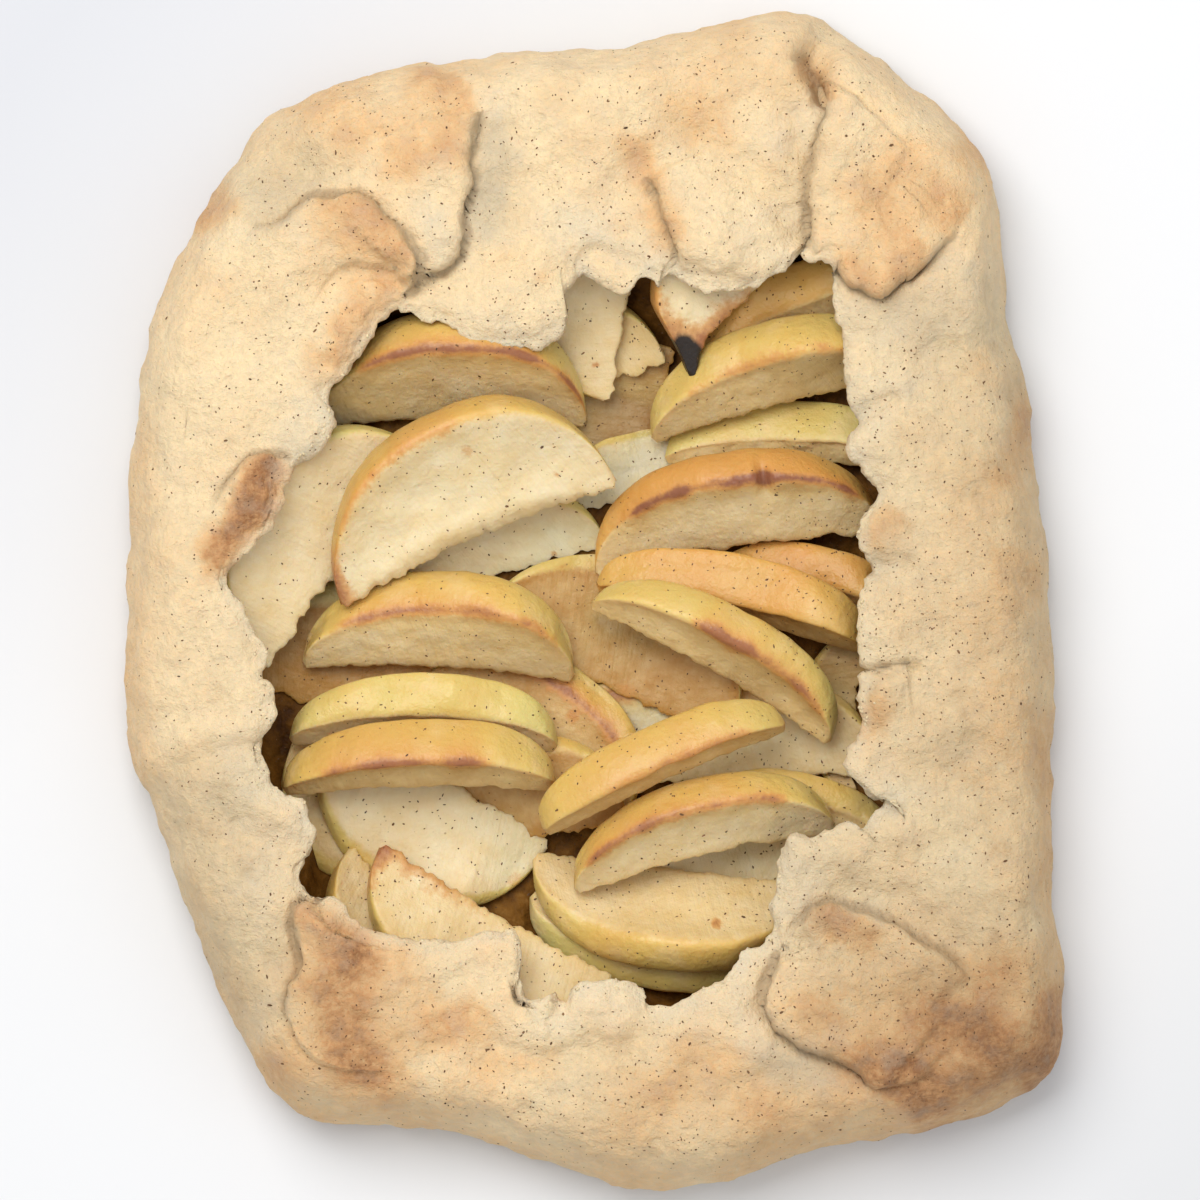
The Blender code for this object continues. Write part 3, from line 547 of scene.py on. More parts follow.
def gathered(x, y, folds, reach=3.2):
    # draws points in towards the foot of each step, so that it is steep
    for points, height, _ in folds.values():
        line = raggedLine(points)
        low, high = line.min(0) - reach, line.max(0) + reach
        near = (x > low[0]) & (x < high[0]) & (y > low[1]) & (y < high[1])
        nx, ny = x[near], y[near]
        away, along = awayFrom(nx, ny, line)
        slopeX = (awayFrom(nx + 0.01, ny, line)[0] - away) / 0.01
        slopeY = (awayFrom(nx, ny + 0.01, line)[0] - away) / 0.01
        share = np.clip(np.abs(away) / reach, 0, 1)
        ends = smoothStep(along, 0, 0.05) * (1 - smoothStep(along, 0.85, 1))
        move = np.where(share < 1, np.sign(away) * reach * share ** 1.9 - away, 0) * ends
        steep = np.hypot(slopeX, slopeY)
        move = np.where((steep > 0.5) & (steep < 1.5), move, 0)
        x, y = x.copy(), y.copy()
        x[near], y[near] = nx + slopeX * move, ny + slopeY * move
    return x, y


def topHeight(x, y):
    # the top without its flaps
    return crust["rim"] + strokes(x, y, crust["lumps"]) + strokes(x, y, crust["creases"])


def windowed(values, reach):
    # a running average, whose ends are already wrapped round
    window = np.hanning(2 * reach + 3)[1:-1]
    return np.convolve(values, window / window.sum(), "valid")


def sectionLines():
    # the torn edge, and the point of the outline that each point of it faces
    count, reach, lap = crust["sections"], crust["sections"] // 19, 2 * math.pi
    cx, cy = crust["middle"]
    plain = closedCurve(crust["mouth"], count)
    bearing = np.unwrap(np.arctan2(plain[1] - cy, plain[0] - cx))
    bearing = windowed(np.concatenate([bearing[-reach:] - lap, bearing, bearing[:reach] + lap]), reach)
    edge = closedCurve(crust["outline"], 1440)
    angle = np.arctan2(edge[1] - cy, edge[0] - cx) % lap
    order = np.argsort(angle)
    away = np.hypot(edge[0] - cx, edge[1] - cy)
    radius = np.interp(bearing % lap, angle[order], away[order], period=lap)
    outer = np.array([cx + radius * np.cos(bearing), cy + radius * np.sin(bearing)])
    # ragged where the pastry tore
    tangent = np.roll(plain, -1, 1) - np.roll(plain, 1, 1)
    normal = np.array([tangent[1], -tangent[0]]) / np.hypot(*tangent)
    ragged = (0.55 * flatNoise(*plain, 3.4, 1) + 0.45 * flatNoise(*plain, 1.7, 2)
              + 0.7 * np.abs(flatNoise(*plain, 6.5, 3)))
    return plain + normal * ragged, outer


# what each row of the crust's skin belongs to
isBase, isWall, isTop, isLip, isLining, isHollow = range(6)


def crustPoints():
    # rows from the middle of the base, up the wall, over the top to the torn edge and back inside
    mouth, outer = sectionLines()
    count = mouth.shape[1]
    middle = np.array(crust["middle"])[:, None]
    toward = (mouth - outer) / np.hypot(*(mouth - outer))
    shoulderLine = outer + toward * crust["shoulder"]
    shoulder = topHeight(*shoulderLine)
    base = middle + (outer - middle) * 0.5
    rows, kinds = [], []

    def addRow(kind, place, height):
        rows.append((*place, np.broadcast_to(np.asarray(height, float), count)))
        kinds.append(kind)

    addRow(isBase, np.repeat(middle, count, 1), 0)
    addRow(isBase, base, 0)
    for inset, share in throughPoints(crust["wall"], 4, False)[:-4]:
        addRow(isWall, outer + toward * inset, shoulder * max(share, 0))
    share = np.linspace(0, 1, crust["topRows"] + 1)[1:, None]
    inner = mouth - toward * crust["lip"]
    # the rows follow a softened mouth, and only the last ones the torn edge itself
    reach = count // 26
    wrapped = np.concatenate([inner[:, -reach:], inner, inner[:, :reach]], 1)
    soft = np.array([windowed(line, reach) for line in wrapped])
    late = smoothStep(share, 0.70, 1)
    x, y = (a + (b - a) * share + (c - b) * late for a, b, c in zip(shoulderLine, soft, inner))
    pulled = gathered(x, y, crust["folds"])
    hold = smoothStep(share, 0.01, 0.06) * (1 - smoothStep(share, 0.95, 0.99))
    x, y = (a + (b - a) * hold for a, b in zip((x, y), pulled))
    z = topHeight(x, y) * (1 - 0.03 * (1 - share) ** 2) + foldHeights(x, y, crust["folds"])[0]
    edge = np.hypot(x - mouth[0], y - mouth[1])
    z = z - 1.5 * np.clip(1 - (edge - 1.6) / 5.5, 0, 1) ** 2
    for place in zip(x, y, z):
        addRow(isTop, place[:2], place[2])
    lipTop = rows[-1][2]
    thick = crust["dough"] * (0.82 + 0.22 * flatNoise(*mouth, 9, 5))
    for turn in np.radians([62, 34, 8, -20, -50, -82]):
        back = crust["lip"] * (1 - math.cos(turn))
        addRow(isLip, mouth - toward * back, lipTop - thick / 2 + thick / 2 * math.sin(turn))
    lipFoot = rows[-1][2]
    for share in (0.12, 0.36, 0.7):
        x, y = mouth + (shoulderLine - mouth) * share
        z = np.minimum(topHeight(x, y) * 0.985 - crust["dough"], lipFoot + 6 * share)
        addRow(isLining, (x, y), lipFoot + (z - lipFoot) * min(share * 2.5, 1))
    for inset, share in throughPoints(crust["hollow"], 2, False):
        addRow(isHollow, outer + toward * inset, shoulder * share)
    addRow(isHollow, base, crust["floor"])
    addRow(isHollow, np.repeat(middle, count, 1), crust["floor"])
    return np.array(rows).transpose(0, 2, 1), np.array(kinds), mouth, outer


def gridNormals(points):
    # the direction out of the skin at each point
    along = np.roll(points, -1, 1) - np.roll(points, 1, 1)
    across = np.gradient(points, axis=0)
    normal = np.cross(along, across)
    return normal / np.maximum(np.linalg.norm(normal, axis=2, keepdims=True), 1e-9)


def crustRelief(points, kinds):
    # the dough's unevenness, with the underside left flat
    normals = gridNormals(points)
    if normals[kinds == isTop][..., 2].mean() < 0:
        normals = -normals
    shown = np.isin(kinds, (isWall, isTop, isLip))[:, None] * np.ones(points.shape[1])
    shown[kinds == isWall] *= smoothStep(points[kinds == isWall][..., 2], 1.0, 8.0)
    low = 1.3 * noiseAt(points, 19, 1) + 1.0 * noiseAt(points, 8.5, 2)
    high = 0.72 * noiseAt(points, 4.4, 3) + 0.34 * noiseAt(points, 2.1, 4)
    high *= 0.8 + 1.2 * strokes(points[..., 0], points[..., 1], crust["rough"])
    torn = 0.8 * noiseAt(points, 2.6, 6) + 0.42 * noiseAt(points, 1.3, 7)
    torn = (kinds == isLip)[:, None] * torn
    moved = points + normals * ((low + high + torn) * shown)[..., None]
    moved[..., 2] = np.maximum(moved[..., 2], 0)
    return moved, low


def crustLooks(points, kinds, mouth, outer, low):
    # how toasted and floury each point is, and where shade is painted on it: along the foot of each step,
    # and in the dull and shaded places
    x, y = points[..., 0], points[..., 1]
    foot, lip = foldHeights(x, y, crust["folds"])[1:]
    warpX = x + 2.6 * flatNoise(x, y, 7, 8) + 1.2 * flatNoise(x, y, 2.8, 9)
    warpY = y + 2.6 * flatNoise(x, y, 7, 10) + 1.2 * flatNoise(x, y, 2.8, 11)
    toast = 0.03 + strokes(warpX, warpY, crust["toast"], 2.6) + 0.10 * lip
    toast += strokes(warpX, warpY, crust["broad"])
    for name, marks in crust["flapToast"].items():  # browning that stops at the edge of a flap
        away = awayFrom(x, y, raggedLine(crust["folds"][name][0]))[0]
        toast += strokes(warpX, warpY, marks, 2.6) * smoothStep(away, -0.5, 0.7)
    inset = np.hypot(x - outer[0], y - outer[1])
    toast += 0.10 * np.exp(-(inset / 5.5) ** 2) * (kinds < isLining)[:, None]
    toast += 0.10 * noiseAt(points, 14, 12) + 0.05 * low
    # browner towards the lower right
    toast += 0.06 * smoothStep(x * 0.5 - y * 0.6, 20, 110)
    flour = strokes(warpX, warpY, crust["flour"]) * (1 - np.clip(toast - 0.25, 0, 1))
    crumb = np.exp(-(np.hypot(x - mouth[0], y - mouth[1]) / 3.4) ** 2)
    flour += 0.42 * crumb
    toast -= 0.05 * crumb
    toast[kinds == isBase] = 0.45
    toast[kinds >= isLining] = 0.15
    # painted contact shadow, with a little real browning, along the foot of each step and in the pinched
    # pit
    creaseBrownAndShade = np.clip(foot, 0, 1) * (kinds == isTop)[:, None] * 0.9
    creaseBrownAndShade = np.maximum(creaseBrownAndShade, 0.85 * strokes(x, y, crust["pinch"]))
    # in part duller baking, in part painted shade in the hollows and beside the steps
    dullAndShade = strokes(warpX, warpY, crust["dullAndShade"]) + 0.25 * noiseAt(points, 16, 13)
    values = {"dullAndShade": dullAndShade, "toast": toast, "flour": flour, "creaseBrownAndShade": creaseBrownAndShade}
    return {name: np.clip(value, 0, 1) for name, value in values.items()}


def makeCrust():
    points, kinds, mouth, outer = crustPoints()
    moved, low = crustRelief(points, kinds)
    values = crustLooks(points, kinds, mouth, outer, low)
    piece = tubeObject("foldedCrust", moved, values, doughMaterial())
    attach(piece, "root")
    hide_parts("crust")
    print("crust:", len(piece.data.polygons), "faces")
    return piece


appleLook = {
    "fleshPale": (0.80, 0.67, 0.42), "flesh": (0.72, 0.52, 0.235), "fleshBaked": (0.46, 0.235, 0.052),
    "peelGreen": (0.66, 0.55, 0.19), "peelYellow": (0.68, 0.45, 0.12), "peelOrange": (0.63, 0.31, 0.075),
    "peelPale": (0.78, 0.60, 0.31), "amber": (0.60, 0.28, 0.075), "rim": (0.33, 0.12, 0.05),
    "plum": (0.22, 0.072, 0.045), "char": (0.016, 0.009, 0.006), "dust": (0.16, 0.08, 0.03),
}


def appleMaterial():
    look = appleLook
    material, tree, shader, place = newMaterial(
        "bakedApple", 0.42, Subsurface_Weight=0.32, Subsurface_Radius=(1.0, 0.6, 0.25),
        Subsurface_Scale=0.004, Specular_IOR_Level=0.45)
    names = ("peel", "hue", "baked", "browned", "plum", "char", "fibre")
    peel, hue, baked, browned, plum, char, fibre = (readValue(tree, name) for name in names)
    wide, patchy = mottle(tree, place, 14, 1.4), mottle(tree, place, 4.5, 1.5)
    fine = mottle(tree, place, 1.1, 1.4)
    streaks = addNode(tree, "ShaderNodeTexNoise", {"W": fibre, "Scale": 1.0, "Detail": 3.0},
                      noise_dimensions="1D").outputs[0]
    tone = swayed(tree, baked, wide, 0.42)
    tone = swayed(tree, tone, patchy, 0.34)
    tone = swayed(tree, tone, streaks, 0.07, True)
    flesh = rampNode(tree, tone, [(0.0, look["fleshPale"]), (0.45, look["flesh"]),
                                  (1.0, look["fleshBaked"])])
    skinTone = swayed(tree, hue, wide, 0.30)
    skinTone = swayed(tree, skinTone, patchy, 0.16, True)
    skin = rampNode(tree, skinTone, [(0.0, look["peelGreen"]), (0.5, look["peelYellow"]),
                                     (1.0, look["peelOrange"])])
    blotch = remap(tree, mottle(tree, place, 9, 1.8), 0.45, 0.95, 0.0, 0.6)
    blotch = mathNode(tree, "MULTIPLY", blotch, mathNode(tree, "MULTIPLY_ADD", hue, -0.7, 1.0, clamp=True))
    skin = mixColour(tree, blotch, skin, look["peelPale"])
    border = swayed(tree, peel, fine, 0.35)
    border = swayed(tree, border, patchy, 0.5)
    cover = remap(tree, border, 0.2, 0.8)
    colour = mixColour(tree, cover, flesh, skin)
    brownMask = swayed(tree, browned, patchy, 0.5)
    brownMask = swayed(tree, brownMask, fine, 0.35)
    brownMask = mathNode(tree, "MULTIPLY", remap(tree, brownMask, 0.08, 0.95, kind="LINEAR"),
                         remap(tree, browned, 0.02, 0.12))
    colour = mixColour(tree, remap(tree, brownMask, 0.0, 0.5, 0.0, 0.8), colour, look["amber"])
    colour = mixColour(tree, remap(tree, brownMask, 0.32, 1.1, 0.0, 0.9), colour,
                       mixColour(tree, plum, look["rim"], look["plum"]))
    specks = mathNode(tree, "MAXIMUM", dust(tree, place, 2.1, 0.16), dust(tree, place, 1.1, 0.08))
    colour = mixColour(tree, mathNode(tree, "MULTIPLY", specks, 0.5), colour, look["dust"])
    burnt = remap(tree, swayed(tree, char, patchy, 0.4), 0.25, 0.6)
    colour = mixColour(tree, burnt, colour, look["char"])
    feed(tree, shader.inputs["Base Color"], colour)
    moist = mathNode(tree, "MULTIPLY_ADD", cover, -0.12, 0.50)
    moist = swayed(tree, moist, patchy, 0.25, True)
    feed(tree, shader.inputs["Roughness"], moist)
    strands = mathNode(tree, "MULTIPLY", streaks, mathNode(tree, "SUBTRACT", 1.0, cover))
    normal = bumpNode(tree, strands, 0.0005, 0.3)
    normal = bumpNode(tree, mottle(tree, place, 2.6, 1.0), 0.0010, 0.5, normal)
    normal = bumpNode(tree, fine, 0.00022, 0.5, normal)
    feed(tree, shader.inputs["Normal"], normal)
    return material


# Each slice from the bottom of the heap up. place is the middle of its core edge and the height of
# its highest point; turn is its heading and how far its back is lifted, in degrees; size is its
# length, depth and the thickness of its back. reach and heel let its back and its core edge run
# further under its neighbours, blunt sets how full its two ends are, narrow and hook slim and curl
# its first tip, notch is a fold in its skin, and dish, relief and bevel shape its upper face.
# The looks: hue of the skin from green (0) to orange (1), baked from pale (0) to caramel (1), rim
# how brown the edge of the skin is from one share of the length to another, plum how purple that
# is, core how brown the core edge is towards one end (coreEnd), tipA and tipB the brown of the
# tips, and burnt the char on the first one.
slices = [
    dict(place=(-63, -24, 21), turn=(-20, 24), size=(50, 20, 10), reach=9, heel=7, hue=0.20, baked=0.9),
    dict(place=(12, 42, 22), turn=(68, 12), size=(40, 18, 7), reach=6, heel=5, hue=0.5, baked=0.85),
    dict(place=(66, -27, 22), turn=(82, 8), size=(40, 15, 8), hue=0.6, baked=0.60),
    dict(place=(50, -3, 24), turn=(-10, 52), size=(50, 17, 11), reach=3, hue=0.9, baked=0.7),
    dict(place=(-50, -42, 20), turn=(155, 12), size=(48, 19, 9), reach=8, heel=6, hue=0.4, baked=0.45),
    dict(place=(1, 51, 25), turn=(22, 18), size=(36, 17, 9), reach=4, heel=3, hue=0.5, baked=0.40),
    dict(place=(17, 20, 24), turn=(1, 0), size=(60, 20, 7), hue=0.35, baked=0.0),
    dict(place=(9, -40, 22), turn=(-3, 16), size=(45, 20, 9), heel=5, hue=0.6, baked=0.2,
         rim=(-0.5, 0.8, 0.6)),
    dict(place=(41, -42, 25), turn=(3, 18), size=(55, 22, 10), heel=4, hue=0.7, baked=0.25),
    dict(place=(-24, 2, 28), turn=(22, 26), size=(60, 24, 11), hue=0.4, baked=0.08, rim=(0.0, 0.9, 0.22)),
    dict(place=(-57, 7, 31), turn=(48, 15), size=(66, 33, 13), hue=0.15, baked=0.10),
    dict(place=(3, -18, 27), turn=(-25, 20), size=(66, 28, 9), heel=6, hue=0.4, baked=0.85,
         rim=(-0.9, 0.9, 0.15)),
    dict(place=(8, 70, 30), turn=(78, 12), size=(46, 20, 11), reach=2, heel=3, blunt=(2.6, 2.6),
         hue=0.3, baked=0.22),
    dict(place=(46, 33, 29), turn=(-2, 52), size=(58, 18, 12), hue=0.22, baked=0.4),
    dict(place=(-18, -38, 27), turn=(-38, 32), size=(60, 24, 11), reach=3, heel=4, hue=0.5, baked=0.6,
         rim=(-0.8, 0.6, 0.7)),
    dict(place=(16, -77, 25), turn=(170, 40), size=(64, 18, 12), heel=3, hue=0.30, baked=0.3),
    dict(place=(32, -67, 25), turn=(-2, 26), size=(50, 19, 9), heel=6, hue=0.4, baked=0.2),
    dict(place=(48, -58, 27), turn=(-15, 36), size=(52, 17, 10), hue=0.4, baked=0.3),
    dict(place=(50, 60, 30), turn=(22, 48), size=(58, 20, 12), reach=4, hue=0.75, baked=0.45),
    dict(place=(44.5, 46, 32), turn=(14, 46), size=(63, 24, 14), hue=0.40, baked=0.40,
         rim=(-0.7, 0.8, 0.40)),
    dict(place=(-34.5, 42, 32), turn=(0, 44), size=(66, 28, 13), reach=4, hue=0.45, baked=0.30,
         rim=(-0.7, 1.0, 0.85), plum=0.6),
    dict(place=(-14, -54, 27), turn=(3, 15), size=(44, 17, 9), reach=3, heel=6, hue=0.5, baked=0.85),
    dict(place=(-37, -45, 29), turn=(152, 16), size=(60, 26, 11), reach=1, heel=5, blunt=(2.8, 2.2),
         hue=0.4, baked=0.1),
    dict(place=(-38, -80, 28), turn=(135, 30), size=(58, 22, 11), hue=0.85, baked=0.3),
    dict(place=(-23, -75, 29), turn=(150, 14), size=(65, 24, 11), heel=2, hue=0.6, baked=0.30, tipB=0.7,
         core=0.6, coreEnd=1),
    dict(place=(35, 11, 34), turn=(9, 36), size=(70, 26, 13), blunt=(2.8, 2.6), hue=0.98, baked=0.30,
         rim=(-0.75, 0.9, 0.95), plum=1.0, notch=0.24),
    dict(place=(33, -4, 34), turn=(-13, 60), size=(67, 19, 14), hue=0.92, baked=0.85),
    dict(place=(-37.5, -17.5, 33), turn=(-3, 42), size=(66, 27, 15), hue=0.55, baked=0.35,
         rim=(-0.8, 0.9, 0.62)),
    dict(place=(-41, -35, 33), turn=(-2, 50), size=(65, 20, 13), hue=0.30, baked=0.30),
    dict(place=(-42, -45, 36), turn=(1, 48), size=(66, 17, 15), hue=0.62, baked=0.55,
         rim=(-0.75, 0.55, 0.85), plum=0.3),
    dict(place=(28, -18, 36), turn=(-30, 45), size=(67, 19, 12), hue=0.42, baked=0.45,
         rim=(-0.3, 0.9, 0.75), plum=0.2),
    dict(place=(18, -66, 31), turn=(173, 36), size=(66, 25, 12), heel=4, blunt=(2.8, 2.4), hue=0.55,
         baked=0.32),
    dict(place=(27, -63, 35), turn=(13, 38), size=(65, 21, 12), hue=0.60, baked=0.2,
         rim=(-0.9, 0.7, 0.70), plum=0.35),
    dict(place=(44, 76, 33), turn=(44, 14), size=(62, 28, 12), hue=0.9, baked=0.05,
         blunt=(2.3, 2.6), core=0.9, tipA=0.5, burnt=1.0, hook=3.0, narrow=0.5),
    dict(place=(-27, 12, 38), turn=(24, 19), size=(73, 34.5, 14), dish=2.6, relief=1.3, hue=0.68,
         baked=0.12,
         rim=(-0.95, 0.2, 0.32), tipA=0.9, bevel=4.5),
    dict(place=(17, -43, 37), turn=(24, 55), size=(64, 14, 13), blunt=(3, 3), hue=0.60, baked=0.6,
         rim=(-0.5, 0.8, 0.55)),
]
sliceShape = {
    "coreRadius": 11.0, "scoop": 3.0, "plump": 0.4, "pressFloor": 5.85,
    "stations": (-0.98, -0.84, -0.56, -0.2, 0.2, 0.56, 0.84, 0.98),
    "along": 100,
    # bruises: where, how wide and how strong
    "spots": [(29.6, -78.3, 1.5, 0.7), (0.5, 56.4, 0.8, 0.6), (-19.4, -68, 2.2, 0.35),
              (-30.5, 35.4, 1.6, 0.35), (-8.8, 29.5, 0.9, 0.5), (-9.7, 11, 0.9, 0.5),
              (8, -22, 3, 0.3), (-5, -28, 2.0, 0.5), (33, -12, 2.4, 0.3)],
}


def sectionRadii(share, depth):
    swell = np.clip(1 - share * share, 0, 1)
    core = sliceShape["coreRadius"] + sliceShape["scoop"] * swell
    return core, sliceShape["coreRadius"] + depth * swell ** 0.6, swell


def coarseRing(share, depth, thickness):
    # the seven points of the frame's slice at one station, in its own section plane
    core, back, _ = sectionRadii(share, depth)
    half = thickness / (sliceShape["coreRadius"] + depth) / 2
    middle = (core + back) / 2
    plump = half + sliceShape["plump"] / middle
    return [(core, -half), (middle, -plump), (back, -half), (back + 0.4, 0.0),
            (back, half), (middle, plump), (core, half)]


def laidFlat(along, radius, turn):
    # from a section's own radius and turn to a slice lying with its core edge at the origin
    return np.stack([along, radius * np.cos(turn) - sliceShape["coreRadius"], radius * np.sin(turn)], -1)


def pressedShares(number, spec, matrix):
    # how far the frame's slice was pressed at each of its points, station by ring point
    length, depth, thickness = spec["size"]
    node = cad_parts[f"slice_{number:02d}"]
    held = np.array([v.co[:] for v in node.data.vertices]) / mm
    coarse = np.array([[laidFlat(np.float64(s * length / 2), radius, turn)
                        for radius, turn in coarseRing(s, depth, thickness)]
                       for s in sliceShape["stations"]])
    coarse = coarse @ matrix[:3, :3].T
    rise = spec["place"][2] - coarse[..., 2].max()
    coarse += (spec["place"][0], spec["place"][1], rise)
    shares = np.full(coarse.shape[:2], np.nan)
    for i, j in np.ndindex(shares.shape):
        x, y, z = coarse[i, j]
        found = held[np.hypot(held[:, 0] - x, held[:, 1] - y) < 0.03][:, 2]
        full = z - sliceShape["pressFloor"]
        if len(found) and abs(full) > 0.5:
            guesses = (found - sliceShape["pressFloor"]) / full
            guesses = guesses[(guesses > 0) & (guesses < 1.02)]
            if len(guesses):
                shares[i, j] = guesses.max() if j > 3 else guesses.min()
    for i, j in np.argwhere(np.isnan(shares)):
        shares[i, j] = np.nanmean(shares[i]) if not np.isnan(shares[i]).all() else np.nanmean(shares)
    return shares, rise


def ringTable():
    # where the points of a fine section lie among the frame's seven: the lower face from 0 to 2,
    # the skin to 4, the upper face to 6 and the core edge to 7
    spans = ((0, 2, 14), (2, 4, 14), (4, 6, 18), (6, 7, 6))
    return np.concatenate([np.linspace(low, high, count, endpoint=False) for low, high, count in spans])


def sliceForm(number, spec):
    # s runs from tip to tip; q runs round each section, as ringTable says
    length, depth, thickness = spec["size"]
    heading, lift = (math.radians(a) for a in spec["turn"])
    matrix = np.array(Matrix.Rotation(heading, 3, "Z") @ Matrix.Rotation(lift, 3, "X"))
    shares, rise = pressedShares(number, spec, matrix)
    seed = 20 + number
    even = np.linspace(-1, 1, sliceShape["along"] + 1)
    steps = (0.55 * even + 0.45 * np.sin(even * math.pi / 2)) * 0.997
    s, q = np.meshgrid(steps, ringTable(), indexing="ij")
    core, back, swell = sectionRadii(s, depth)
    # the skin rounds the ends more fully than the frame's few corners can, and may reach further
    full = (1 - np.abs(s) ** np.where(s < 0, *spec.get("blunt", (2.0, 2.8)))) ** 0.5
    back = np.maximum(back, sliceShape["coreRadius"] + (depth + spec.get("reach", 0)) * full)
    back -= spec.get("narrow", 0.0) * smoothStep(-s, 0.80, 0.96) * (back - core)
    core = core - spec.get("heel", 0.0) * swell ** 0.7
    deep = back - core
    half = thickness / (sliceShape["coreRadius"] + depth) / 2 * (1 - 0.35 * s ** 12)
    along = s * length / 2
    # across is 0 at the core and 1 at the skin; height is -1 on the lower face and 1 on the upper
    across = np.select([q < 2, q < 4, q < 6], [q / 2, np.ones_like(q), (6 - q) / 2], 0.0)
    height = np.select([q < 2, q < 4, q < 6], [-np.ones_like(q), q - 3, np.ones_like(q)], 1 - 2 * (q - 6))
    upper = height > 0.99
    # a ragged and scooped core edge
    edgeNoise = gridNoise(along, seed * 9, 0, 3.2, seed)
    ragged = 1.2 * edgeNoise + 0.9 * gridNoise(along, seed * 5, 0, 1.4, seed + 1)
    ragged *= np.clip(swell * 3, 0, 1)
    bevel = spec.get("bevel", 1.0) * swell * np.clip(height, 0, 1) * (1 - across) ** 3
    radius = core + deep * across + ragged * (1 - across) ** 4 + bevel
    radius += np.where((q >= 2) & (q <= 4), 0.9 * (1 - height ** 2) + 0.35, 0) * swell
    radius += 0.45 * gridNoise(along, height * 2, seed, 5.5, seed + 2) * across
    # a dished face, whose edge by the skin stands a little proud
    face = np.sin(math.pi * across)
    dish = spec.get("dish", 1.0) * upper * swell
    rimLip = 0.7 * np.exp(-((across - 0.93) / 0.06) ** 2) * upper * swell
    relief = spec.get("relief", 0.7) * gridNoise(along, radius, seed, 8, seed + 3)
    relief += 0.32 * gridNoise(along, radius, seed, 2.6, seed + 4)
    shaped = rimLip - dish * face + relief * swell * (0.3 + face)
    arc = height * half * radius + np.where(np.abs(height) > 0.99, np.sign(height) * shaped, 0)
    if "notch" in spec:  # the skin has folded in on itself
        pinch = np.exp(-((s - spec["notch"]) / 0.045) ** 2)
        arc -= 3.4 * pinch * np.exp(-((q - 4) / 0.6) ** 2)
        radius -= 2.6 * pinch * np.exp(-((q - 4) / 0.8) ** 2)
    radius -= spec.get("hook", 0.0) * smoothStep(-s, 0.80, 0.98)  # a tip that has curled over
    radius, arc = (softenedEnds(values) for values in (radius, arc))
    points = laidFlat(along, radius, arc / radius)
    # a baked slice sags and curls a little
    points[..., 2] += 0.5 * gridNoise(along, 0, seed, 22, seed + 5)
    points = points @ matrix.T + (spec["place"][0], spec["place"][1], rise)
    pressFloor = sliceShape["pressFloor"]
    points[..., 2] = pressFloor + (points[..., 2] - pressFloor) * blended(shares, s, q)
    return points, dict(s=s, q=q, along=along, across=across, height=height, deep=deep,
                        radius=radius, arc=arc, edgeNoise=edgeNoise, seed=seed)


def softenedEnds(values):
    # rounds the corners of each section, and draws the sections in to close both tips
    for _ in range(2):
        values = 0.25 * np.roll(values, -1, 1) + 0.5 * values + 0.25 * np.roll(values, 1, 1)
    for row, taper in ((0, 0.0), (-1, 0.0), (1, 0.55), (-2, 0.55), (2, 0.82), (-3, 0.82)):
        centre = values[row].mean()
        values[row] = centre + (values[row] - centre) * taper
    return values


def blended(shares, s, q):
    # the shares of the frame's few points, spread over the fine ones
    station = np.interp(s, sliceShape["stations"], np.arange(8))
    i, j = np.clip(station.astype(int), 0, 6), np.floor(q).astype(int) % 7
    u, v = station - i, q - np.floor(q)
    after = (j + 1) % 7
    return ((shares[i, j] * (1 - u) + shares[i + 1, j] * u) * (1 - v)
            + (shares[i, after] * (1 - u) + shares[i + 1, after] * u) * v)


